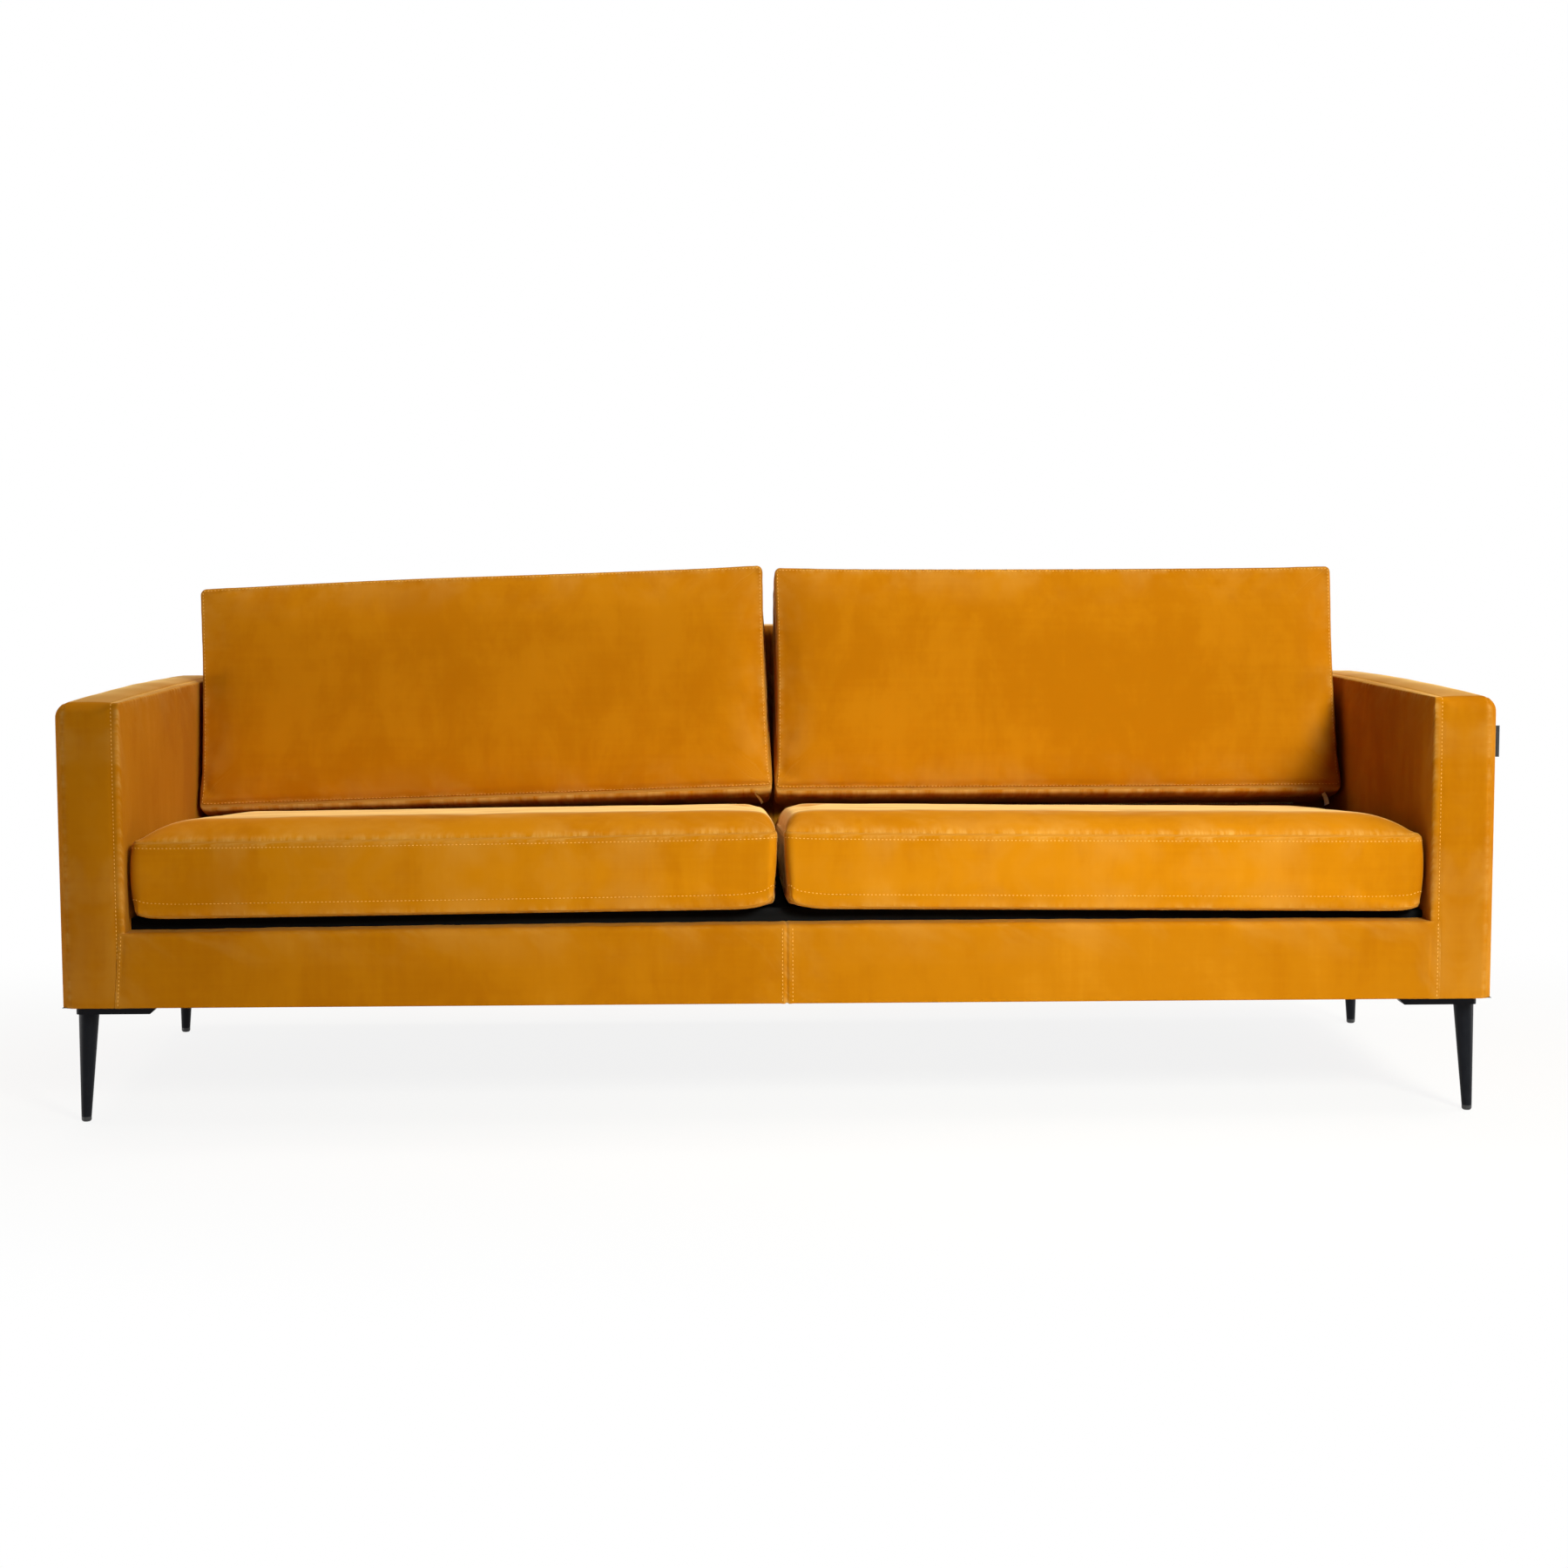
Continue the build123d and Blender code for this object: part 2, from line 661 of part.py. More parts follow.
# Legs
def build_legs():
    """Tapered legs with glides, brackets and screws."""
    brackets, glides, screws = [], [], []
    for end_name, end in ENDS.items():
        for side_name, side in SIDES.items():
            x, y = leg_centre(side, end)
            tip_x, tip_y = x + side * leg_splay, y + end * leg_splay
            taper = leg_splay * glide_height / leg_top
            sole_x, sole_y = tip_x - side * taper, tip_y - end * taper
            leg = loft([Pos(sole_x, sole_y, glide_height) * Circle(leg_tip_radius),
                        Pos(x, y, leg_top) * Circle(leg_top_radius)])
            parts[f"leg_{end_name}_{side_name}"] = leg
            glide = rod((sole_x, sole_y, 0), (0, 0, 1), leg_tip_radius, glide_height)
            glides.append(fillet(glide.edges().group_by(Axis.Z)[0], glide_round))
            brackets.append(leg_bracket(side, end))
            for sx, sy in bracket_screw_points(side, end):
                head = rod((sx, sy, leg_top - screw_head_height), (0, 0, 1), screw_head_radius,
                           screw_head_height)
                screws.append(head + rod((sx, sy, leg_top), (0, 0, 1), screw_radius, screw_length))
    parts["leg_brackets"] = group(brackets)
    parts["leg_glides"] = group(glides)
    parts["bracket_screws"] = group(screws)


def leg_bracket(side, end):
    """An L-shaped plate under the base, its two inner ends cut away at 45 degrees underneath."""
    x, y = leg_centre(side, end)
    x0, y0 = x + side * bracket_edge, y + end * bracket_edge
    x1, y1 = x0 - side * bracket_length, y0 - end * bracket_length
    plate = block(x0, x1, y0, y0 - end * bracket_width, leg_top, base_bottom)
    plate += block(x0, x0 - side * bracket_width, y0, y1, leg_top, base_bottom)
    low = plate.edges().group_by(Axis.Z)[0]
    ends = [e for e in low if abs(e.center().X - x1) < soft_gap or abs(e.center().Y - y1) < soft_gap]
    plate = chamfer(ends, bracket_chamfer)
    corner = [e for e in plate.edges().filter_by(Axis.Z)
              if abs(e.center().X - x0) < soft_gap and abs(e.center().Y - y0) < soft_gap]
    plate = fillet(corner, bracket_corner)
    return drill(plate, screw_holes(side, end))


def build_bolts():
    """Bolts through the base end boards into the arms' bottom rails."""
    bolts = []
    for side in SIDES.values():
        for y in bolt_ys:
            inside = (side * seat_half, y, bolt_z)
            shank = rod(inside, (side, 0, 0), bolt_radius, bolt_length)
            bolts.append(shank + rod(inside, (-side, 0, 0), bolt_head_radius, bolt_head_height))
    parts["frame_bolts"] = group(bolts)


def build_side_tab():
    """A bare woven tab sewn into the right arm's outer seam."""
    y = -half_depth + tab_behind_front
    parts["side_tab"] = block(half_width, half_width + tab_reach, y, y + tab_t, tab_bottom,
                              tab_bottom + tab_height)


for side_name, side_sign in SIDES.items():
    build_arm(side_name, side_sign)
build_front_rail()
build_base()
build_deck()
build_springs()
build_back()
build_seat_cushions()
build_back_cushions()
build_legs()
build_bolts()
build_side_tab()

os.makedirs("parts", exist_ok=True)
for node, shape in parts.items():
    export_step(shape, f"parts/{node}.step")
print(len(parts), "nodes")
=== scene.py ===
"""A mustard velvet sofa: its covers, cushions, seams and finishes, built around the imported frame. Metres."""

import math

import bpy
import numpy as np
from mathutils import Matrix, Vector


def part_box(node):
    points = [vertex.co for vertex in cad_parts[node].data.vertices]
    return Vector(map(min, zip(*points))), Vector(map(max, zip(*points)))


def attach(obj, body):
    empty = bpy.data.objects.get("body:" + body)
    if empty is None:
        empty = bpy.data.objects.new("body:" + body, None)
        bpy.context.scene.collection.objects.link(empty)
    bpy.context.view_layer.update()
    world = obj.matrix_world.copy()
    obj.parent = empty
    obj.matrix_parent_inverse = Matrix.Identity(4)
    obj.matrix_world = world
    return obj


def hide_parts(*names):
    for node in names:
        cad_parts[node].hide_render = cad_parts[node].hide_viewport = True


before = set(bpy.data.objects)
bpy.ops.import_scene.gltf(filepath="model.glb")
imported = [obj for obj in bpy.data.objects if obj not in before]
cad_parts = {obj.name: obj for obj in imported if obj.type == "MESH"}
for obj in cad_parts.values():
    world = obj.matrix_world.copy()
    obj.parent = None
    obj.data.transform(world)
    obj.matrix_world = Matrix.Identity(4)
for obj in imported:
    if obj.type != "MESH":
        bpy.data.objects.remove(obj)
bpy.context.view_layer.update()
MM = 0.001

# Sizes and places that repeat the frame's
SEAT_HALF, HALF_WIDTH, HALF_DEPTH = 0.995, 1.095, 0.440
BASE_BOTTOM, ARM_TOP, BACK_TOP = 0.186, 0.650, 0.740
RAIL_END_TOP, RAIL_REAR = 0.309, -0.396
SEAT_TILT, SEAT_ROLL = math.radians(2.5), math.radians(0.58)
SEAT_FRONT, SEAT_EDGE = -0.432, 0.319
SEAT_OUTER, CUSHION_MIDDLE, CUSHION_WIDTH = 0.985, 0.49375, 0.9825
SEAT_DEPTH, BORDER_FRONT, BORDER_REAR = 0.606, 0.120, 0.101
BACK_LEAN, BACK_HEIGHT, BACK_BORDER = math.radians(14.5), 0.405, 0.140
BACK_REST_Y, BACK_REST_Z = 0.23054, 0.41995
LEFT_BACK_ROLL, LEFT_BACK_LIFT = math.radians(1.7), 0.005
ZIP_LENGTH, BACK_ZIP_FROM_REAR = 0.860, 0.030
LEFT, RIGHT = -1, 1
SIDES = {"left": LEFT, "right": RIGHT}

# Grid rows beside a seam and in from an edge, the step between the others, and how near counts as the same
SEAM_ROWS = np.array([-9.0, -6.5, -4.5, -2.8, -1.4, 0.0, 1.4, 2.8, 4.5, 6.5, 9.0]) * MM
EDGE_ROWS = np.array([0.0, 1.2, 2.5, 4.2, 6.5, 9.0, 12.0, 15.5, 20.0, 26.0]) * MM
COVER_STEP, CLOSEST_ROWS = 9 * MM, 0.6 * MM
ROUNDING, SAME_LINE, ON_FACE, NEAR_FACE = 0.01 * MM, 0.1 * MM, 0.5 * MM, 1 * MM
NO_LENGTH = 1e-12

# A seam's section, and the stitches beside it
SEAM_DEPTH, SEAM_WIDTH = 1.5 * MM, 1.5 * MM
SEAM_SWELL, SWELL_FROM_SEAM, SWELL_WIDTH = 0.55 * MM, 5 * MM, 2.6 * MM
STITCH_PITCH, STITCH_SHARE, THREAD = 6.0 * MM, 0.60, 0.66 * MM


# Grids and surfaces
def smooth(t):
    """A smooth step: 0 below 0, 1 above 1, three t squared less two t cubed between."""
    t = np.clip(t, 0, 1)
    return t * t * (3 - 2 * t)


def hump(t):
    """A bell: e to the minus t squared."""
    return np.exp(-np.square(t))


def bell(a, low, high):
    """How far a place lies from both ends of a span, 0 at the ends and 1 in the middle, by a parabola."""
    t = (2 * a - low - high) / (high - low)
    return np.clip(1 - t * t, 0, 1)


def unit(vectors):
    """Vectors divided by their lengths. One with no length stays so."""
    return vectors / np.maximum(np.linalg.norm(vectors, axis=-1, keepdims=True), NO_LENGTH)


def columns(*values):
    """Arrays and single values side by side, as points or pairs."""
    return np.stack(np.broadcast_arrays(*values), axis=-1)


def ripple(run, seed, waves):
    """Uneven waves along a run: a sum of sines, one for each wavelength, with seeded phases and heights."""
    dice = np.random.default_rng(seed)
    height = np.zeros_like(run)
    for wave in waves:
        height += dice.uniform(0.5, 1.0) * np.sin(2 * np.pi * (run / wave + dice.random()))
    return height / len(waves)


def uneven(u, v, seed, waves):
    """A gently uneven sheet: waves along three directions, 60 degrees apart, added up."""
    turns = np.radians([20.0, 80.0, 140.0])
    return sum(ripple(u * np.cos(t) + v * np.sin(t), seed + k, waves) for k, t in enumerate(turns)) / 2


def lines(start, stop, step, seams=()):
    """Grid places from start to stop about a step apart, closer at both ends and around each seam."""
    count = max(2, int(round((stop - start) / step)) + 1)
    marks = np.concatenate([start + EDGE_ROWS, stop - EDGE_ROWS] + [seam + SEAM_ROWS for seam in seams])
    even = np.linspace(start, stop, count)
    far = np.abs(even[:, None] - marks[None, :]).min(1) > 0.45 * step
    merged = np.unique(np.round(np.concatenate([even[far], marks, [start, stop]]), 5))
    merged = merged[(merged > start - ROUNDING) & (merged < stop + ROUNDING)]
    return merged[np.concatenate([[True], np.diff(merged) > CLOSEST_ROWS])]


def quads(index, flip=False):
    """Quads over a grid of point numbers, turned over where flip is set."""
    cells = np.stack([index[:-1, :-1], index[1:, :-1], index[1:, 1:], index[:-1, 1:]], axis=-1)
    return cells.reshape(-1, 4)[:, ::-1] if flip else cells.reshape(-1, 4)


def box_lattice(xs, ys, zs):
    """The outside of a box as one closed lattice: the grid points on its walls, and quads that face out."""
    shape = (len(xs), len(ys), len(zs))
    i, j, k = np.meshgrid(*[np.arange(n) for n in shape], indexing="ij")
    on = (i % (shape[0] - 1) == 0) | (j % (shape[1] - 1) == 0) | (k % (shape[2] - 1) == 0)
    index = np.full(shape, -1)
    index[on] = np.arange(on.sum())
    walls = [(index[0], True), (index[-1], False), (index[:, 0], False), (index[:, -1], True),
             (index[:, :, 0], True), (index[:, :, -1], False)]
    return columns(xs[i[on]], ys[j[on]], zs[k[on]]), np.concatenate([quads(*wall) for wall in walls])


def rounded(points, low, high, radius):
    """Round a box: points go to the nearest place on a core box smaller by radius, then out by radius."""
    radius = np.broadcast_to(radius, len(points))[:, None]
    core = np.clip(points, np.asarray(low) + radius, np.asarray(high) - radius)
    normal = unit(points - core)
    return core + radius * normal, normal


def round_corners(x, y, half_x, half_y, corner):
    """A rectangle's grid with its corner squares bent to quarter circles: each of a point's two shares of
    the square is cut by the root of one less half the other's square."""
    a = np.clip((np.abs(x) - half_x + corner) / corner, 0, 1)
    b = np.clip((np.abs(y) - half_y + corner) / corner, 0, 1)
    in_x = np.where(a > 0, (half_x - corner) + corner * a * np.sqrt(1 - b * b / 2), np.abs(x))
    in_y = np.where(b > 0, (half_y - corner) + corner * b * np.sqrt(1 - a * a / 2), np.abs(y))
    return np.sign(x) * in_x, np.sign(y) * in_y


def normals_of(points, faces):
    """Point normals: the sum of the face normals round each point, each as long as its face is large."""
    a, b, c, d = (points[faces[:, k]] for k in range(4))
    face = np.cross(c - a, d - b)
    corners = faces.ravel()
    return unit(columns(*[np.bincount(corners, np.repeat(face[:, k], 4), len(points)) for k in range(3)]))


def seam_dip(gap):
    """A seam's section: a narrow valley where two panels meet, with a low swell at each side, all bells."""
    swell = SEAM_SWELL * hump((np.abs(gap) - SWELL_FROM_SEAM) / SWELL_WIDTH)
    return swell - SEAM_DEPTH * hump(gap / SEAM_WIDTH)


def join(shapes):
    """Several (points, faces) shapes as one."""
    shift = np.cumsum([0] + [len(points) for points, _ in shapes[:-1]])
    return (np.concatenate([points for points, _ in shapes]),
            np.concatenate([faces + start for (_, faces), start in zip(shapes, shift)]))


def moved(points, turn, shift):
    """Points turned by a matrix, then shifted."""
    return points @ turn.T + shift


# Paths over a surface
def on_line(values, place):
    """Which lattice points lie on the grid line nearest to a place."""
    return np.abs(values - values[np.argmin(np.abs(values - place))]) < SAME_LINE


def grid_path(points, flat, axis, where):
    """The lattice points picked by a mask, in order along an axis of the unrounded lattice."""
    chosen = np.flatnonzero(where)
    return points[chosen[np.argsort(flat[chosen, axis])]]


def run_along(path):
    """How far along a polyline each of its points lies: the summed lengths of the stretches before it."""
    return np.concatenate([[0], np.cumsum(np.linalg.norm(np.diff(path, axis=0), axis=1))])


def read_along(run, values, places):
    """Rows of values known along a run, read at other places on it, straight between the known ones."""
    return columns(*[np.interp(places, run, values[:, k]) for k in range(3)])


def stitch_row(path, outward):
    """A row of stitches along a path: each is a four-sided tube whose radius and height rise as a half sine,
    so that both of its ends sink into the cloth. outward is the cloth's normal at each path point."""
    stations, sides, ahead_by = 5, 4, 0.5 * MM
    run = run_along(path)
    count = max(1, int(run[-1] / STITCH_PITCH))
    t = np.linspace(0, 1, stations)
    places = (np.arange(count)[:, None] + 0.5 + STITCH_SHARE * (t[None, :] - 0.5)) * (run[-1] / count)
    places = places.ravel()
    up = read_along(run, outward, places)
    ahead = unit(read_along(run, path, places + ahead_by) - read_along(run, path, places - ahead_by))
    across = unit(np.cross(ahead, up))
    swell = np.tile(np.sin(np.pi * t), count)
    radius = THREAD * (0.3 + 0.7 * np.sqrt(swell))
    height = THREAD * (1.1 * swell - 0.5)
    angle = np.arange(sides) * 2 * np.pi / sides
    ring = np.cos(angle)[None, :, None] * across[:, None] + np.sin(angle)[None, :, None] * up[:, None]
    centre = read_along(run, path, places) + up * height[:, None]
    points = (centre[:, None] + ring * radius[:, None, None]).reshape(-1, 3)
    index = np.arange(len(points)).reshape(count, stations, sides)
    beside = np.roll(index, -1, axis=2)
    walls = np.stack([index[:, :-1], index[:, 1:], beside[:, 1:], beside[:, :-1]], axis=-1).reshape(-1, 4)
    caps = np.concatenate([index[:, 0], index[:, -1, ::-1]])
    return points, np.concatenate([walls, caps])


# Putting pieces into the scene
def new_mesh(name, points, faces):
    """A smooth-shaded mesh object in the scene."""
    mesh = bpy.data.meshes.new(name)
    mesh.from_pydata(points, [], faces)
    mesh.polygons.foreach_set("use_smooth", np.ones(len(mesh.polygons), bool))
    obj = bpy.data.objects.new(name, mesh)
    bpy.context.scene.collection.objects.link(obj)
    return obj


def piece(name, points, faces, body, finish, sew=None, divide=0):
    """A mesh piece that rides on a body. sew gives each point its run along and gap from a seam."""
    obj = new_mesh(name, points, faces)
    mesh = obj.data
    if sew is not None:
        corner = np.empty(len(mesh.loops), np.int32)
        mesh.loops.foreach_get("vertex_index", corner)
        mesh.uv_layers.new(name="sew").data.foreach_set("uv", sew[corner].astype(np.float32).ravel())
    mesh.materials.append(finish)
    if divide:
        modifier = obj.modifiers.new("finer", "SUBSURF")
        modifier.levels = divide
        modifier.render_levels = divide
    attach(obj, body)
    return obj


# Material nodes
def feed(tree, node, **sockets):
    """Link or set a node's inputs, named with underscores for spaces, or numbered as i0, i1 and so on. A
    colour is given as red, green and blue."""
    for key, value in sockets.items():
        socket = node.inputs[int(key[1:]) if key[0] == "i" and key[1:].isdigit() else key.replace("_", " ")]
        if isinstance(value, bpy.types.NodeSocket):
            tree.links.new(value, socket)
        else:
            socket.default_value = (*value, 1) if socket.type == "RGBA" else value


def make(tree, kind, settings=(), **sockets):
    """A node with its settings, and its inputs linked or set."""
    node = tree.nodes.new(kind)
    for key, value in dict(settings).items():
        setattr(node, key, value)
    feed(tree, node, **sockets)
    return node


def calc(tree, operation, a, b=0.0, c=0.0):
    """A Math node's result."""
    return make(tree, "ShaderNodeMath", {"operation": operation}, i0=a, i1=b, i2=c).outputs[0]


def total(tree, *terms):
    """The sum of values, each times its weight."""
    whole = 0.0
    for value, weight in terms:
        whole = calc(tree, "MULTIPLY_ADD", value, weight, whole)
    return whole


def share(tree, value, whole):
    """A value as a share of a whole, kept between 0 and 1."""
    return make(tree, "ShaderNodeClamp", Value=calc(tree, "DIVIDE", value, whole)).outputs[0]


def mixed(tree, factor, a, b):
    """Two colours mixed by a factor."""
    return make(tree, "ShaderNodeMix", {"data_type": "RGBA"}, i0=factor, i6=a, i7=b).outputs[2]


def spread(tree, value, low, high, to_low=0.0, to_high=1.0):
    """A value's range mapped smoothly to another and kept within it."""
    return make(tree, "ShaderNodeMapRange", {"interpolation_type": "SMOOTHSTEP"}, Value=value, From_Min=low,
                From_Max=high, To_Min=to_low, To_Max=to_high).outputs[0]


def mapped(tree, place, scale=(1, 1, 1), turn=(0, 0, 0)):
    """A place scaled and turned by a Mapping node."""
    return make(tree, "ShaderNodeMapping", Vector=place, Scale=scale, Rotation=turn).outputs[0]


def object_place(tree, scale=(1, 1, 1)):
    """Object coordinates, scaled."""
    return mapped(tree, make(tree, "ShaderNodeTexCoord").outputs["Object"], scale)


def noise(tree, place, scale, detail=2.0, rough=0.5, distortion=0.0):
    """A noise texture's value."""
    return make(tree, "ShaderNodeTexNoise", Vector=place, Scale=scale, Detail=detail, Roughness=rough,
                Distortion=distortion).outputs[0]


def wave(tree, place, axis, scale, **more):
    """A wave texture's value, in bands across an axis."""
    return make(tree, "ShaderNodeTexWave", {"wave_type": "BANDS", "bands_direction": axis}, Vector=place,
                Scale=scale, **more).outputs[1]


def group(name, outputs, **inputs):
    """A node group with named value outputs, and inputs with their values."""
    tree = bpy.data.node_groups.new(name, "ShaderNodeTree")
    for label in outputs:
        tree.interface.new_socket(label, in_out="OUTPUT", socket_type="NodeSocketFloat")
    for label, value in inputs.items():
        tree.interface.new_socket(label, in_out="INPUT", socket_type="NodeSocketFloat").default_value = value
    return tree, tree.nodes.new("NodeGroupInput").outputs, tree.nodes.new("NodeGroupOutput")


def nap_group():
    """Pile that has been stroked: a weighted sum of broad clouds, smears, and faint bands up and across. Its
    height is the smears with the pile's fine grain on them."""
    tree, _, out = group("stroked_nap", ["Shade", "Height"])
    plain = object_place(tree)
    clouds = noise(tree, plain, scale=2.2, detail=3.0, rough=0.5, distortion=0.1)
    drawn_out = object_place(tree, (1, 1, 0.55))
    smears = noise(tree, drawn_out, scale=11.0, detail=4.0, rough=0.62, distortion=0.4)
    bands = noise(tree, object_place(tree, (1, 1, 0.04)), scale=42.0, detail=3.0, rough=0.65)
    weave = noise(tree, object_place(tree, (0.04, 0.3, 1)), scale=110.0, detail=3.0, rough=0.65)
    pile = noise(tree, plain, scale=1500.0, detail=2.0, rough=0.6)
    shade = total(tree, (spread(tree, clouds, 0.25, 0.75), 0.40), (spread(tree, smears, 0.3, 0.72), 0.26),
                  (spread(tree, bands, 0.3, 0.7), 0.08), (spread(tree, weave, 0.3, 0.7), 0.05))
    feed(tree, out, Shade=shade, Height=total(tree, (pile, 0.25), (smears, 0.9)))
    return tree


def sewn_group():
    """Puckers beside a seam, from the run along it and the gap from it: short uneven waves that fade out,
    and broad pale patches of pile that handling has turned. A gap below nothing marks slack cloth, which is
    creased aslant."""
    tree, given, out = group("sewn_edge", ["Pucker", "Crush", "Blush", "Slack"], Reach=0.016, Broad=0.075)
    place = make(tree, "ShaderNodeUVMap", {"uv_map": "sew"}).outputs[0]
    gap = make(tree, "ShaderNodeSeparateXYZ", Vector=place).outputs["Y"]
    near = share(tree, calc(tree, "SUBTRACT", given["Reach"], gap), given["Reach"])
    wide = share(tree, calc(tree, "SUBTRACT", given["Broad"], gap), given["Broad"])
    loose = share(tree, gap, calc(tree, "MULTIPLY", given["Reach"], -0.5))
    short = noise(tree, mapped(tree, place, (1.0, 0.35, 1.0)), scale=95.0, detail=2.0, rough=0.55)
    patches = noise(tree, mapped(tree, place, (1.0, 0.0, 1.0)), scale=9.0, detail=1.0)
    turned = noise(tree, place, scale=11.0, detail=3.0, rough=0.6, distortion=0.4)
    aslant = mapped(tree, place, (1.0, 0.7, 1.0), (0, 0, 0.9))
    creases = noise(tree, aslant, scale=30.0, detail=3.0, rough=0.6)
    # Crush: pale pile on the short waves near a seam, partly crushed pile and partly a painted highlight of
    # sheen along the edges
    amount = calc(tree, "MULTIPLY", calc(tree, "MULTIPLY", near, near),
                  spread(tree, patches, 0.3, 0.65, to_low=0.15))
    feed(tree, out, Pucker=calc(tree, "MULTIPLY", amount, short),
         Crush=calc(tree, "MULTIPLY", amount, spread(tree, short, 0.35, 0.7)),
         Blush=calc(tree, "MULTIPLY", wide, spread(tree, turned, 0.42, 0.68)),
         Slack=calc(tree, "MULTIPLY", loose, spread(tree, creases, 0.38, 0.66)))
    return tree


def grain_group():
    """Wood grain: rings stretched along the X direction, with fine pores."""
    tree, _, out = group("wood_grain", ["Ring", "Pore"])
    place = object_place(tree, (0.12, 1, 1))
    bend = noise(tree, place, scale=7.0, detail=3.0)
    ring = wave(tree, place, "Z", 26.0, Distortion=7.0, Detail=3.0, Detail_Scale=1.4)
    pores = noise(tree, object_place(tree, (0.04, 1, 1)), scale=420.0, detail=2.0)
    feed(tree, out, Ring=total(tree, (ring, 0.7), (bend, 0.3)), Pore=pores)
    return tree


def weave_group():
    """A plain weave: sets of threads as waves across each other, and a little fuzz."""
    tree, given, out = group("plain_weave", ["Thread", "Fuzz"], Scale=700.0)
    place = object_place(tree)
    warp, weft, rise = (wave(tree, place, axis, given["Scale"]) for axis in "XYZ")
    threads = calc(tree, "MAXIMUM", warp, calc(tree, "MAXIMUM", weft, rise))
    feed(tree, out, Thread=threads, Fuzz=noise(tree, place, scale=60.0, detail=4.0))
    return tree


def scuff_group():
    """Small uneven wear and dust over a hard finish, and an orange-peel height."""
    tree, _, out = group("scuffed_coat", ["Scuff", "Peel"])
    place = object_place(tree)
    wear = noise(tree, place, scale=38.0, detail=5.0, rough=0.65)
    feed(tree, out, Scuff=spread(tree, wear, 0.45, 0.75), Peel=noise(tree, place, scale=900.0, detail=2.0))
    return tree


# Materials
def new_material(name):
    """A material with its node tree, and its Principled BSDF."""
    material = bpy.data.materials.new(name)
    material.use_nodes = True
    return material, material.node_tree, material.node_tree.nodes["Principled BSDF"]


def use(tree, source, **inputs):
    """The outputs of a node group placed in a material."""
    return make(tree, "ShaderNodeGroup", {"node_tree": source}, **inputs).outputs


def bump(tree, height, strength, distance):
    """Height as a bumped normal."""
    return make(tree, "ShaderNodeBump", Height=height, Strength=strength, Distance=distance).outputs[0]


NAP, SEWN, GRAIN, WEAVE, SCUFF = nap_group(), sewn_group(), grain_group(), weave_group(), scuff_group()
DEEP_TO_FULL, FULL_TO_PALE = (0.18, 0.52), (0.5, 0.85)
# Shares of the pale crushed-pile colour, which at the seams is also a painted highlight of sheen along the
# edges
BLUSH_SHARE, CRUSH_AND_SHEEN_SHARE, SLACK_SHARE = 0.15, 0.62, 0.55
# How strongly the painted sheen, a pale colour where a surface is seen edge on, comes in and how much of it
PAINTED_SHEEN_POWER, PAINTED_SHEEN_SHARE = 20.0, 1.6
NAP_SHARE = 0.35
FUZZ_SMOOTHER, SCUFF_SHARE, SCUFF_ROUGHER = 0.08, 0.35, 0.14


def velvet(name, deep, full, pale, crush, painted_sheen):
    """Velvet: three shades mixed by the stroked nap, paler at a seam, partly crushed pile and partly a painted
    highlight of sheen along the edges, and palest as a painted sheen where the surface is seen edge on, by a
    power of how far it turns away."""
    material, tree, shader = new_material(name)
    nap, sewn = use(tree, NAP), use(tree, SEWN)
    pile = mixed(tree, spread(tree, nap["Shade"], *DEEP_TO_FULL), deep, full)
    pile = mixed(tree, spread(tree, nap["Shade"], *FULL_TO_PALE), pile, pale)
    # Blush and Slack are pale turned pile; Crush is partly crushed pile and partly a painted sheen highlight
    # on the edges
    for mark, part in (("Blush", BLUSH_SHARE), ("Crush", CRUSH_AND_SHEEN_SHARE), ("Slack", SLACK_SHARE)):
        pile = mixed(tree, calc(tree, "MULTIPLY", sewn[mark], part), pile, crush)
    # Painted sheen: the colour goes toward a pale colour where the surface turns edge on to the view
    edge = make(tree, "ShaderNodeLayerWeight", Blend=0.5).outputs["Facing"]
    graze = calc(tree, "MULTIPLY", calc(tree, "POWER", edge, PAINTED_SHEEN_POWER), PAINTED_SHEEN_SHARE)
    height = total(tree, (nap["Height"], NAP_SHARE), (sewn["Pucker"], 1.0))
    feed(tree, shader, Base_Color=mixed(tree, graze, pile, painted_sheen),
         Roughness=spread(tree, nap["Shade"], 0.1, 0.9, to_low=0.95, to_high=0.78),
         Specular_IOR_Level=0.02, Sheen_Weight=0.06, Sheen_Roughness=0.42, Sheen_Tint=(1.0, 0.72, 0.22),
         Normal=bump(tree, height, strength=0.75, distance=1.6 * MM))
    return material


def cloth(name, dark, light, rough, scale, sheen=0.0, specular=0.3):
    """A flat woven or bonded cloth in two close shades."""
    material, tree, shader = new_material(name)
    weave = use(tree, WEAVE, Scale=scale)
    tone = total(tree, (weave["Thread"], 0.5), (weave["Fuzz"], 0.5))
    feed(tree, shader, Base_Color=mixed(tree, tone, dark, light),
         Roughness=spread(tree, weave["Fuzz"], 0.3, 0.7, to_low=rough - FUZZ_SMOOTHER, to_high=rough),
         Sheen_Weight=sheen, Specular_IOR_Level=specular,
         Normal=bump(tree, weave["Thread"], strength=0.4, distance=0.3 * MM))
    return material


def wood(name, dark, light):
    """Sawn timber or board: rings between two shades, with darker pores."""
    material, tree, shader = new_material(name)
    grain = use(tree, GRAIN)
    pores = spread(tree, grain["Pore"], 0.55, 0.75, to_high=0.35)
    feed(tree, shader, Base_Color=mixed(tree, pores, mixed(tree, grain["Ring"], dark, light), dark),
         Roughness=spread(tree, grain["Ring"], 0, 1, to_low=0.75, to_high=0.6),
         Normal=bump(tree, grain["Pore"], strength=0.25, distance=0.3 * MM))
    return material


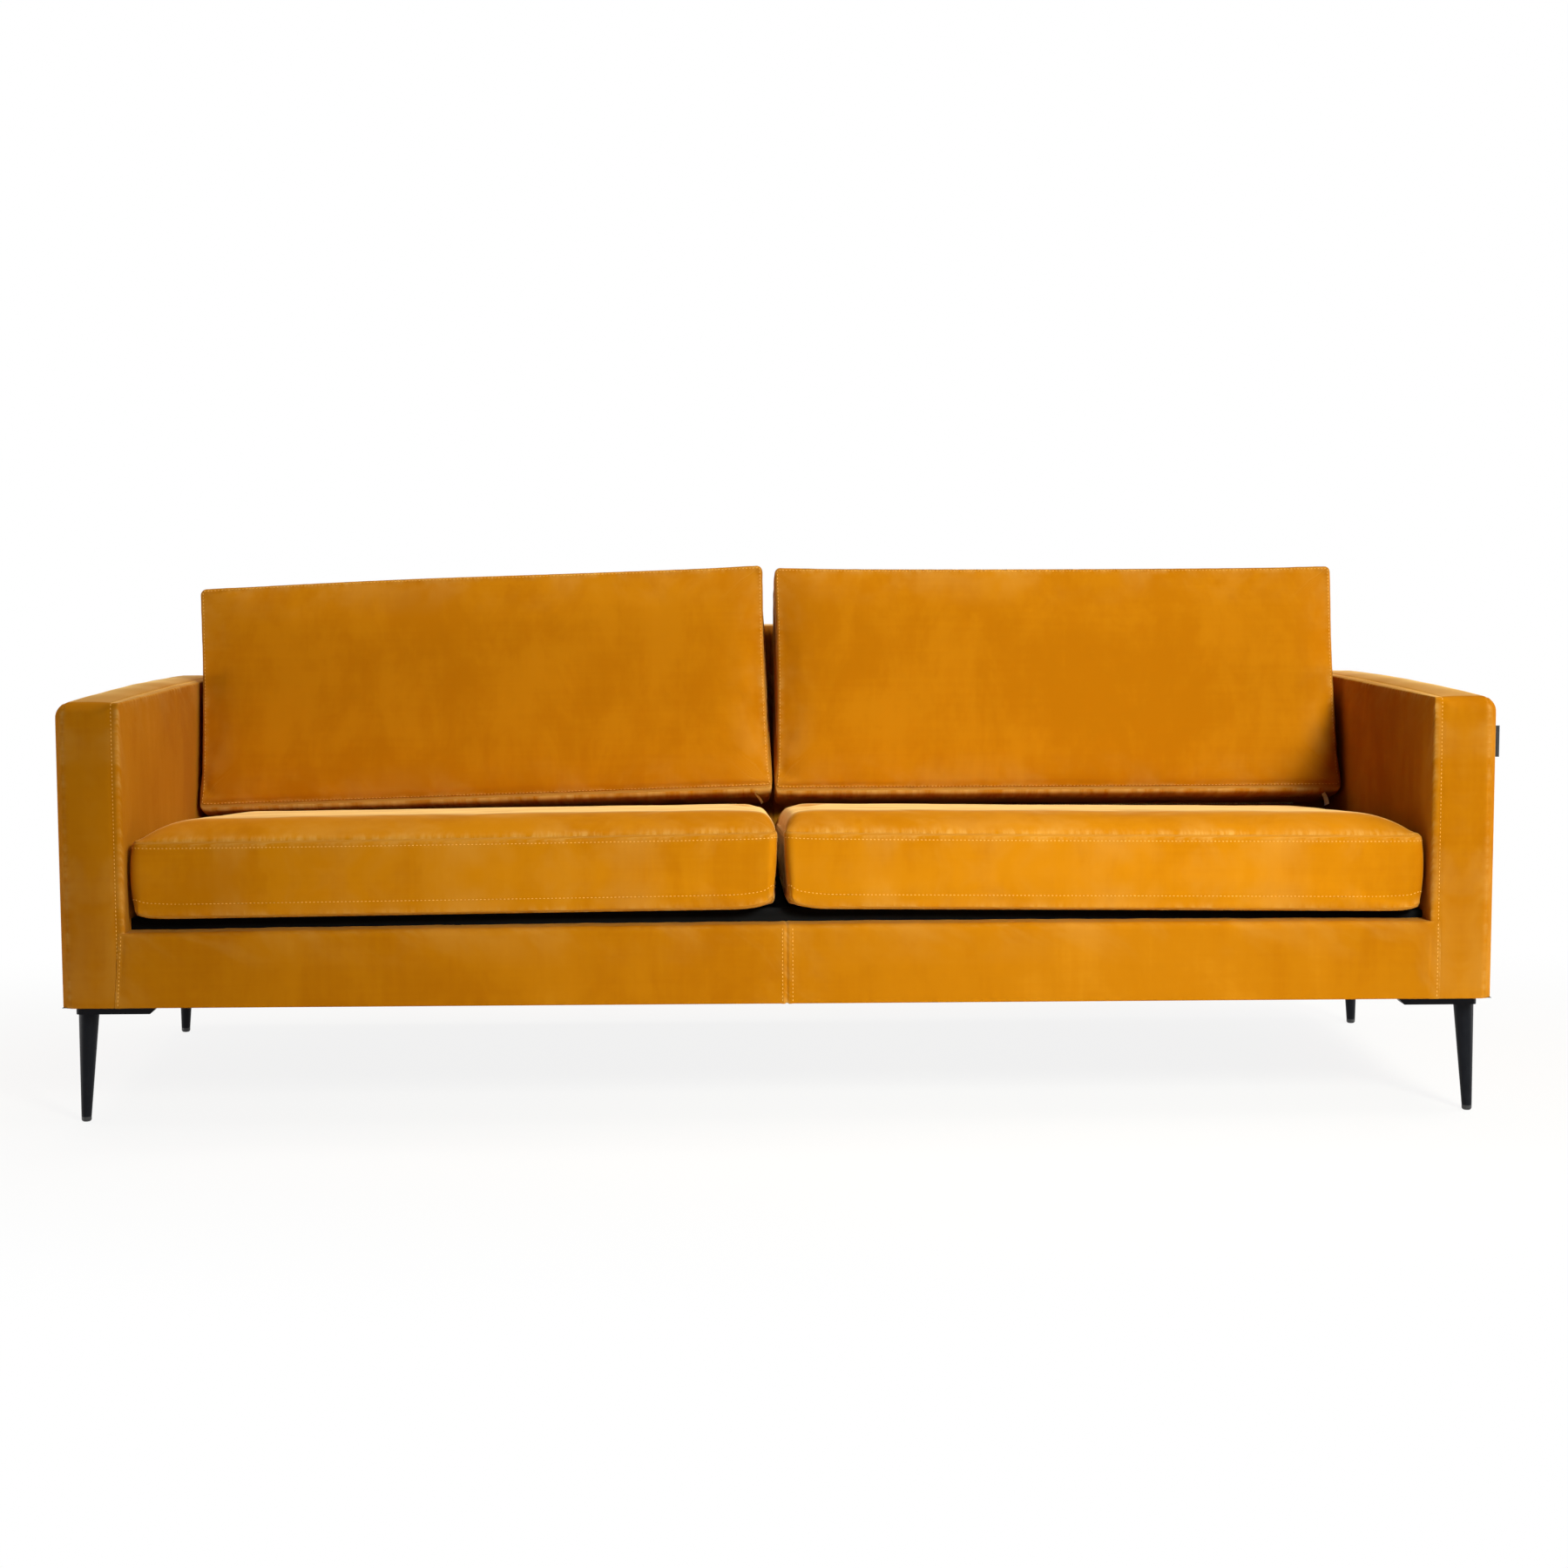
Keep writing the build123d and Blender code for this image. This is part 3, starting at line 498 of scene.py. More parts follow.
def coat(name, colour, worn, rough, metallic=0.0, peel=0.2, specular=0.5):
    """A hard finish, such as powder coat, steel or plastic, with faint scuffs and a fine peel."""
    material, tree, shader = new_material(name)
    scuff = use(tree, SCUFF)
    wear = calc(tree, "MULTIPLY", scuff["Scuff"], SCUFF_SHARE)
    feed(tree, shader, Base_Color=mixed(tree, wear, colour, worn),
         Roughness=spread(tree, scuff["Scuff"], 0, 1, to_low=rough, to_high=rough + SCUFF_ROUGHER),
         Metallic=metallic, Specular_IOR_Level=specular,
         Normal=bump(tree, scuff["Peel"], strength=peel, distance=0.15 * MM))
    return material


ochre_velvet = velvet("ochre_velvet", deep=(0.46, 0.149, 0.0012), full=(0.52, 0.181, 0.0025),
                      pale=(0.58, 0.220, 0.007), crush=(0.72, 0.42, 0.11), painted_sheen=(0.90, 0.58, 0.22))
# A darker copy of the same velvet for the arms and the front rail: painted shade, for panels that look darker
# under this light
shaded_velvet = velvet("ochre_velvet_painted_shade", deep=(0.39, 0.123, 0.0010), full=(0.445, 0.152, 0.0020),
                      pale=(0.51, 0.188, 0.006), crush=(0.66, 0.38, 0.10), painted_sheen=(0.86, 0.56, 0.22))
ochre_thread = coat("ochre_thread", (0.78, 0.40, 0.05), (0.64, 0.30, 0.025), rough=0.6)
black_cloth = cloth("black_cloth", (0.003, 0.003, 0.003), (0.010, 0.010, 0.0105), rough=0.95, scale=500.0,
                    specular=0.03)
timber = wood("timber", (0.42, 0.25, 0.12), (0.66, 0.47, 0.27))
board = wood("board", (0.36, 0.22, 0.10), (0.55, 0.38, 0.21))
webbing = cloth("webbing", (0.012, 0.012, 0.013), (0.05, 0.05, 0.052), rough=0.9, scale=300.0)
spring_steel = coat("spring_steel", (0.32, 0.32, 0.34), (0.16, 0.14, 0.12), rough=0.36, metallic=1.0)
fastener_steel = coat("fastener_steel", (0.55, 0.55, 0.57), (0.34, 0.33, 0.31), rough=0.32, metallic=1.0)
black_metal = coat("black_metal", (0.004, 0.0045, 0.007), (0.010, 0.011, 0.015), rough=0.40, peel=0.35,
                   specular=0.10)
glide_plastic = coat("glide_plastic", (0.012, 0.012, 0.014), (0.05, 0.05, 0.05), rough=0.5)
zip_tape = cloth("zip_tape", (0.34, 0.12, 0.006), (0.50, 0.20, 0.012), rough=0.85, scale=900.0)
zip_metal = coat("zip_metal", (0.62, 0.42, 0.16), (0.40, 0.26, 0.10), rough=0.3, metallic=1.0)
white_satin = cloth("white_satin", (0.86, 0.86, 0.86), (0.94, 0.94, 0.94), rough=0.55, scale=1200.0,
                    sheen=0.2)
black_woven = cloth("black_woven", (0.008, 0.008, 0.010), (0.035, 0.036, 0.042), rough=0.7, scale=1100.0,
                    sheen=0.2)


def both(*names):
    """The left and the right node of each name."""
    return [f"{name}_{side}" for name in names for side in SIDES]


for finish, names in {
    timber: both("arm_posts", "arm_bottom_rail", "base_end_board") + [
        "front_board", "spring_rails", "centre_stretcher", "corner_blocks", "back_stiles", "back_rails"],
    board: both("arm_inner_panel", "arm_outer_panel") + ["outside_back_panel"],
    webbing: ["back_webbing"],
    spring_steel: ["seat_springs", "spring_clips"],
    fastener_steel: ["frame_bolts", "bracket_screws"],
    black_metal: both("leg_front", "leg_rear") + ["leg_brackets"],
    glide_plastic: ["leg_glides"],
    zip_metal: both("seat_zip_slider", "back_zip_slider"),
}.items():
    for name in names:
        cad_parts[name].data.materials.clear()
        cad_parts[name].data.materials.append(finish)


def stitching(name, body, rows):
    """A piece of thread: rows of stitches, each along a path with its normals."""
    points, faces = join([stitch_row(path, outward) for path, outward in rows])
    piece(name, points, faces, body, ochre_thread)


# Arms; FACING and HEM_FACING are how much of a normal counts as facing a way, and as facing down
ARM_WIDTH = HALF_WIDTH - SEAT_HALF
OUTER_SEAM, ARM_STITCH = 0.086, 12 * MM
EDGE_ROUND, INNER_ROUND, FRONT_ROUND = 23 * MM, 4 * MM, 9 * MM
ROUND_BLEND, FRONT_BLEND, CLEAR_OF_RAIL = 0.030, 0.1, 6 * MM
INNER_SWELL, OUTER_SWELL, FRONT_SWELL, TOP_SWELL = 2.5 * MM, 3.0 * MM, 3.8 * MM, 7.0 * MM
FACE_WANDER, TOP_WANDER = 0.4 * MM, 0.5 * MM
RIDGE_HEIGHT, RIDGE_WIDTH = 1.2 * MM, 2.6 * MM
FURROW_DEPTH, FURROW_WIDTH = 0.9 * MM, 2.2 * MM
FACING, HEM_FACING = 0.2, -0.5
OUTER_SEAM_SHARE, OUTER_SEAM_GAP, INNER_SEAM_GAP = 0.5, 4 * MM, 0.5 * MM


def arm(name, side):
    """One arm's cover: a lattice box in (a, y, z), a being the distance out from the inner face. Its edges
    are rounded by 23 mm, the inner one by 4 mm along the top and 9 mm down the front, to a flat hem. The
    panels swell by parabolas, the inner edge stands up as a bell, and the seams dip in."""
    flat, faces = box_lattice(lines(0, ARM_WIDTH, COVER_STEP, [OUTER_SEAM]),
                              lines(-HALF_DEPTH, HALF_DEPTH, COVER_STEP),
                              lines(BASE_BOTTOM, ARM_TOP, COVER_STEP))
    a, y, z = flat.T
    above_rail = smooth((z - RAIL_END_TOP - CLEAR_OF_RAIL) / ROUND_BLEND)
    below_top = smooth((ARM_TOP - ARM_STITCH - z) / ROUND_BLEND)
    inner = INNER_ROUND + (FRONT_ROUND - INNER_ROUND) * above_rail * below_top * smooth(-y / FRONT_BLEND)
    radius = inner + (EDGE_ROUND - inner) * smooth((a - INNER_ROUND) / ROUND_BLEND)
    points, normal = rounded(flat, (0, -HALF_DEPTH, 0), (ARM_WIDTH, HALF_DEPTH, ARM_TOP), radius)
    hem = (z < BASE_BOTTOM + SAME_LINE) & (a > 0) & (a < ARM_WIDTH) & (np.abs(y) < HALF_DEPTH)
    hem_a, hem_y = round_corners(a - ARM_WIDTH / 2, y, ARM_WIDTH / 2, HALF_DEPTH, EDGE_ROUND)
    points[hem] = columns(hem_a + ARM_WIDTH / 2, hem_y, z)[hem]

    mid_a = bell(a, 0, ARM_WIDTH)
    mid_y = bell(y, -HALF_DEPTH, HALF_DEPTH)
    mid_z = bell(z, BASE_BOTTOM, ARM_TOP)
    sideways, forwards, upwards = np.abs(normal[:, 0]), np.abs(normal[:, 1]), np.clip(normal[:, 2], 0, 1)
    swell = sideways * mid_y * mid_z * np.where(a < ARM_WIDTH / 2, INNER_SWELL, OUTER_SWELL)
    swell += forwards * mid_a * mid_z * FRONT_SWELL + upwards * mid_a * mid_y * TOP_SWELL
    swell += FACE_WANDER * uneven(y, z, 7 + 4 * side, waves=[0.31, 0.17, 0.097]) * sideways * mid_y * mid_z
    swell += TOP_WANDER * ripple(y, 11 + side, waves=[0.37, 0.16]) * upwards * mid_y

    on_inner = a < ON_FACE
    over = (normal[:, 2] > FACING) | (on_inner & (z > ARM_TOP - ROUND_BLEND))
    ridge = RIDGE_HEIGHT * hump(np.where(on_inner, ARM_TOP - z, a) / RIDGE_WIDTH) * over
    strip = ~on_inner & ((normal[:, 1] < -FACING) | (normal[:, 2] > FACING))
    furrow = FURROW_DEPTH * hump((a - ARM_STITCH) / FURROW_WIDTH) * strip
    dip = OUTER_SEAM_SHARE * seam_dip(a - OUTER_SEAM) * (normal[:, 2] > HEM_FACING)
    points = points + normal * (swell + ridge - furrow + dip)[:, None]

    to_edge = np.minimum(y + HALF_DEPTH, ARM_TOP - z)
    inner_gap = np.where(on_inner, to_edge, a)
    outer_gap = np.where(a > ARM_WIDTH - ON_FACE, ARM_WIDTH - OUTER_SEAM + to_edge, np.abs(a - OUTER_SEAM))
    gap = np.minimum(outer_gap, inner_gap)
    # The inner edge's small gap gives it the most of the painted sheen highlight along that edge
    sew = columns(y + z, gap + np.where(gap < inner_gap, OUTER_SEAM_GAP, INNER_SEAM_GAP))
    points[:, 0] = side * (SEAT_HALF + points[:, 0])
    faces = faces if side == RIGHT else faces[:, ::-1]
    obj = piece(f"arm_upholstery_{name}", points, faces, "frame", shaded_velvet, sew)
    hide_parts(f"arm_cover_{name}", f"arm_foam_{name}")
    return points, flat


def strip_stitches(points, flat):
    """The row of stitches on an arm's strip, up the front and then back over the top, with normals square to
    the path in the plane of its run, facing out."""
    row = on_line(flat[:, 0], ARM_STITCH)
    front = grid_path(points, flat, 2, row & (flat[:, 1] < -HALF_DEPTH + SAME_LINE))
    top = grid_path(points, flat, 1, row & (flat[:, 2] > ARM_TOP - SAME_LINE))
    path = np.concatenate([front, top[1:]])
    ahead = np.gradient(path, axis=0)
    outward = unit(columns(0.0, -ahead[:, 2], ahead[:, 1]))
    return path[1:], outward[1:]


stitching("arm_stitching", "frame", [strip_stitches(*arm(name, side)) for name, side in SIDES.items()])


# Front rail
RAIL_LEFT, RAIL_RIGHT, RAIL_FRONT = -1.004, 1.011, -0.4412
RAIL_SEAM = 0.008
RAIL_PRESS, RAIL_ARCH, RAIL_CLIMB, RAIL_WAVE = 6 * MM, 4 * MM, 3 * MM, 0.6 * MM
RAIL_ROUND, RAIL_BLEND, RAIL_HEM = 10 * MM, 0.02, 4 * MM
RAIL_SWELL, RAIL_WANDER = 1.4 * MM, 0.5 * MM
LAP_THICK, LAP_FROM, LAP_BLEND, LAP_SLANT = 1.6 * MM, 1 * MM, 1.5 * MM, 8 * MM
RAIL_EDGE_GAP, RAIL_SEAM_GAP = 5 * MM, 3 * MM
RAIL_STITCHES = (RAIL_SEAM - 6.5 * MM, RAIL_SEAM + 9 * MM, RAIL_LEFT + 4.2 * MM, RAIL_RIGHT - 4.2 * MM)


def rail_top(x):
    """Height of the front rail's top where the pad is pressed down: a low arch, by a parabola, that climbs a
    little to the right, with a slight uneven wave."""
    arch = RAIL_ARCH * bell(x, -SEAT_HALF, SEAT_HALF)
    wander = RAIL_WAVE * ripple(x, seed=21, waves=[0.23, 0.11, 0.061])
    return RAIL_END_TOP - RAIL_PRESS + RAIL_CLIMB * x / SEAT_HALF + arch + wander


def front_rail():
    """The front rail's cover: a lattice box whose top follows the arch, rounded along its front top edge.
    Past the arms' inner faces it thins by a smooth step to a lap that is sewn down on the arm fronts."""
    flat, faces = box_lattice(lines(RAIL_LEFT, RAIL_RIGHT, COVER_STEP, [RAIL_SEAM, -SEAT_HALF, SEAT_HALF]),
                              lines(RAIL_FRONT, RAIL_REAR, COVER_STEP),
                              lines(BASE_BOTTOM, RAIL_END_TOP, COVER_STEP))
    x, y, z = flat.T
    front_top = smooth((RAIL_REAR - y) / RAIL_BLEND) * smooth((z - BASE_BOTTOM - RAIL_HEM) / RAIL_BLEND)
    radius = LAP_THICK + RAIL_ROUND * front_top * smooth((SEAT_HALF - np.abs(x)) / RAIL_BLEND)
    low, high = (RAIL_LEFT, RAIL_FRONT, BASE_BOTTOM), (RAIL_RIGHT, RAIL_REAR, RAIL_END_TOP)
    points, normal = rounded(flat, low, high, radius)
    panel = np.clip(-normal[:, 1], 0, 1) * bell(z, BASE_BOTTOM, RAIL_END_TOP)
    swell = panel * (RAIL_SWELL + RAIL_WANDER * ripple(x, seed=5, waves=[0.41, 0.19, 0.083]))
    dip = seam_dip(x - RAIL_SEAM) * (1 - np.clip(normal[:, 1], 0, 1))
    points = points + normal * (swell + dip)[:, None]
    rise = (z - BASE_BOTTOM) / (RAIL_END_TOP - BASE_BOTTOM)
    points[:, 2] += (rail_top(x) - RAIL_END_TOP) * rise
    lap = smooth((np.abs(x) - SEAT_HALF + LAP_FROM) / LAP_BLEND)
    thin = 1 - lap * (1 - LAP_THICK / (RAIL_REAR - RAIL_FRONT))
    points[:, 1] = RAIL_FRONT + (points[:, 1] - RAIL_FRONT) * thin
    points[:, 0] -= LAP_SLANT * lap * (x < 0) * (1 - rise)
    to_seam = np.minimum(np.abs(x - RAIL_SEAM), np.minimum(x - RAIL_LEFT, RAIL_RIGHT - x))
    to_edge = np.where(y < RAIL_FRONT + NEAR_FACE, RAIL_END_TOP - z, y - RAIL_FRONT) + RAIL_EDGE_GAP
    sew = columns(x + z, np.minimum(to_seam, to_edge) + RAIL_SEAM_GAP)
    obj = piece("front_rail_upholstery", points, faces, "frame", shaded_velvet, sew)
    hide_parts("front_rail_cover", "front_rail_foam")
    front = y < RAIL_FRONT + SAME_LINE
    paths = [grid_path(points, flat, 2, on_line(x, place) & front)[2:-2] for place in RAIL_STITCHES]
    stitching("front_rail_stitching", "frame",
              [(path, np.broadcast_to([0.0, -1.0, 0.0], path.shape)) for path in paths])


front_rail()


# Back; UNSHEARED is the inside back's depth before its front is sheared to the lean
BACK_HALF, BACK_TUCK, BACK_CLEAR = 0.9947, 0.290, 0.3 * MM
BACK_STEP_X, BACK_STEP_Z, BACK_SEAM_GAP = 12 * MM, 10 * MM, 4 * MM
UNSHEARED = 0.1
BACK_EDGE_ROUND, BACK_TOP_ROUND, BACK_HOLLOW = 2 * MM, 14 * MM, 0.5 * MM
END_BLEND, END_FROM, END_ABOVE_ARM = 8 * MM, 10 * MM, 4 * MM
END_STEP, END_PUFF, END_PUFF_BELOW = 1.8 * MM, 2.2 * MM, 0.06
PANEL_DROP, PANEL_SWELL, PANEL_WANDER = 2.3 * MM, 1.6 * MM, 0.5 * MM
PANEL_LAYERS, PANEL_INNER, PANEL_STITCH_ROW = np.array([2.0, 1.0, 0.0]) * MM, 1.5 * MM, -4


def inside_back():
    """The inside back with its rolled top, tucked down into the deck: a lattice box whose front is sheared
    to the leaning plane that the cushions rest on, rounded along its front top edge. Above the arms its ends
    stand out by a smooth step and a parabola, so that they cover the timber's ends."""
    flat, faces = box_lattice(lines(-BACK_HALF, BACK_HALF, BACK_STEP_X, [0.0]),
                              lines(0, UNSHEARED, COVER_STEP),
                              lines(BACK_TUCK, BACK_TOP, BACK_STEP_Z))
    x, t, z = flat.T
    radius = BACK_EDGE_ROUND + BACK_TOP_ROUND * smooth((UNSHEARED - t) / (UNSHEARED / 2))
    points, normal = rounded(flat, (-BACK_HALF, 0, BACK_TUCK), (BACK_HALF, UNSHEARED, BACK_TOP), radius)
    hollow = BACK_HOLLOW * bell(x, -BACK_HALF, BACK_HALF) * bell(z, BACK_TUCK, BACK_TOP)
    points = points + normal * (np.clip(-normal[:, 1], 0, 1) * (seam_dip(x) - hollow))[:, None]
    foot = BACK_REST_Y + BACK_CLEAR / math.cos(BACK_LEAN)
    front = foot + (points[:, 2] - BACK_REST_Z) * math.tan(BACK_LEAN)
    depth = points[:, 1] / UNSHEARED
    points[:, 1] = front + (HALF_DEPTH - front) * depth
    above = smooth((points[:, 2] - ARM_TOP + END_ABOVE_ARM) / END_BLEND)
    at_end = smooth((np.abs(points[:, 0]) - BACK_HALF + END_FROM) / END_BLEND)
    puffed = END_STEP + END_PUFF * bell(depth, 0, 1) * bell(z, ARM_TOP - END_PUFF_BELOW, BACK_TOP)
    points[:, 0] += np.sign(x) * at_end * above * puffed
    behind = HALF_DEPTH - points[:, 1]
    to_rear = np.where(z > BACK_TOP - NEAR_FACE, behind, UNSHEARED + BACK_TOP - z)
    to_edge = np.minimum(np.minimum(points[:, 1] - front, behind), BACK_TOP - z)
    to_end = np.where(np.abs(x) > BACK_HALF - SAME_LINE, to_edge, BACK_HALF - np.abs(x))
    gap = np.minimum(np.minimum(np.abs(x), to_end), np.maximum(to_rear, 0))
    sew = columns(x + z, gap + BACK_SEAM_GAP)
    obj = piece("inside_back_upholstery", points, faces, "frame", ochre_velvet, sew)
    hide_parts("inside_back_cover", "back_foam")


def outside_back():
    """The outside back: a flat panel sewn in below the roll, which swells by the root of a parabola each way
    and is gently uneven."""
    z_lines = lines(BASE_BOTTOM, BACK_TOP - PANEL_DROP, BACK_STEP_Z)
    flat, faces = box_lattice(lines(-BACK_HALF, BACK_HALF, BACK_STEP_X),
                              HALF_DEPTH - PANEL_LAYERS, z_lines)
    x, y, z = flat.T
    swell = np.sqrt(bell(x, -BACK_HALF, BACK_HALF)) * np.sqrt(bell(z, BASE_BOTTOM, BACK_TOP))
    points = flat.copy()
    points[:, 1] += np.where(y > HALF_DEPTH - PANEL_INNER, PANEL_SWELL * swell, 0)
    points[:, 1] += PANEL_WANDER * uneven(x, z, seed=31, waves=[0.5, 0.23, 0.13]) * swell
    gap = np.minimum(BACK_HALF - np.abs(x), np.minimum(BACK_TOP - z, z - BASE_BOTTOM))
    sew = columns(x + z, gap + BACK_SEAM_GAP)
    obj = piece("outside_back_upholstery", points, faces, "frame", ochre_velvet, sew)
    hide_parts("outside_back_cover")
    rear = y > HALF_DEPTH - SAME_LINE
    path = grid_path(points, flat, 0, rear & on_line(z, z_lines[PANEL_STITCH_ROW]))[2:-2]
    stitching("outside_back_stitching", "frame", [(path, np.broadcast_to([0.0, 1.0, 0.0], path.shape))])


inside_back()
outside_back()


# Seat deck and base cloth
SEAT_TURN = np.array([[1, 0, 0], [0, math.cos(SEAT_TILT), math.sin(SEAT_TILT)],
                      [0, -math.sin(SEAT_TILT), math.cos(SEAT_TILT)]])
SEAT_ORIGIN = np.array([0, SEAT_FRONT, SEAT_EDGE])
DECK_FRONT, DECK_REAR = 0.0380 / math.cos(SEAT_TILT), 0.6920 / math.cos(SEAT_TILT)
DECK_STEP, DECK_CLEAR, DECK_THICK, DECK_SAG = 14 * MM, 0.3 * MM, 16.5 * MM, 1.2 * MM
BASE_CELLS, BASE_SAG, BASE_LIFT = (90, 40), 2.5 * MM, 0.5 * MM
BAY_END, BAY_FRONT, BAY_REAR = 0.98, -0.37, 0.24


def seat_deck():
    """The deck under the seat cushions: a padded sheet in two gentle slopes that rise to the middle, with a
    sag that is a parabola from front to rear and uneven from spring to spring."""
    flat, faces = box_lattice(lines(-BACK_HALF, BACK_HALF, DECK_STEP, [0.0]),
                              lines(DECK_FRONT, DECK_REAR, DECK_STEP), np.linspace(0, 1, 4))
    x, y, t = flat.T
    slope = math.tan(SEAT_ROLL)
    bottom = (SEAT_OUTER - BACK_HALF) * slope - DECK_CLEAR - DECK_THICK
    top = (SEAT_OUTER - np.abs(x)) * slope - DECK_CLEAR
    sag = DECK_SAG * bell(y, DECK_FRONT, DECK_REAR) * (0.6 + 0.4 * ripple(x, seed=41, waves=[0.199, 0.1]))
    points = moved(columns(x, y, bottom + t * (top - sag - bottom)), SEAT_TURN, SEAT_ORIGIN)
    obj = piece("seat_deck", points, faces, "frame", black_cloth)
    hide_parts("deck_cloth", "deck_pad")


def base_cloth():
    """The cloth under the base: a flat sheet that sags between the rails by a parabola each way."""
    low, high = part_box("dust_cover")
    x_lines, y_lines = (np.linspace(low[k], high[k], BASE_CELLS[k]) for k in range(2))
    x, y = (grid.ravel() for grid in np.meshgrid(x_lines, y_lines, indexing="ij"))
    sag = BASE_SAG * bell(np.abs(x), 0, BAY_END) * bell(y, BAY_FRONT, BAY_REAR)
    faces = quads(np.arange(len(x)).reshape(BASE_CELLS), True)
    points = columns(x, y, low[2] + BASE_LIFT - sag)
    obj = piece("base_cloth", points, faces, "frame", black_cloth)
    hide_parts("dust_cover")


seat_deck()
base_cloth()


# Cushions; runs along the ends count from END_RUN, so that their waves aren't those of the edges
CUSHION_STEP = 9.5 * MM
LIP_REACH, CUT_REACH, ROLL_REACH, ROLL_FADE = 0.05, 0.07, 0.06, 5 * MM
LIP_CUT, ZIP_FACING = 0.35, 0.5
BORDER_ROWS, MIDDLE_ROWS = np.array([0, 2.2, 4.4, 6.6, 9.0, 13.0, 20.0]) * MM, 8
BORDER_ROUND = 0.7
END_RUN = 3.0
SEWN_WIDTH, SLACK_FADE, SLACK_LEAST, SLACK_MARK = 6 * MM, 24 * MM, 0.05, -16 * MM
PUCKER, PUCKER_FADE, PUCKER_FROM = 0.9 * MM, 13 * MM, 1 * MM
BROAD, BROAD_FROM_SEAM = 0.8 * MM, 0.05
COVER_CLOTH = {"quality": 3, "mass": 0.4, "tension_stiffness": 30, "compression_stiffness": 30,
               "shear_stiffness": 15, "bending_stiffness": 1.5, "vertex_group_mass": "held",
               "vertex_group_shrink": "sewn", "shrink_min": 0.0, "shrink_max": 0.02, "use_pressure": True}
PUFF_FRAMES = 20
UPPER_STITCH_ROW, LOWER_STITCH_ROW, PANEL_STITCH_INSET = 4, -7, 3


def fall(gap, reach):
    """What is left at a gap in from a seam: the square of the share of its reach that is still to go."""
    return np.square(1 - np.clip(gap / reach, 0, 1))


def crown(gap, reach):
    """A crown's rise in from a seam: one less the fourth power of what is left of its reach."""
    return 1 - np.square(fall(gap, reach))


def once_round(grid):
    """The values round the edge of a grid, once round from its first corner."""
    return np.concatenate([grid[:, 0], grid[-1, 1:], grid[-2::-1, -1], grid[0, -2:0:-1]])


def closed(path):
    """A path with its first point added at its end."""
    return np.concatenate([path, path[:1]])


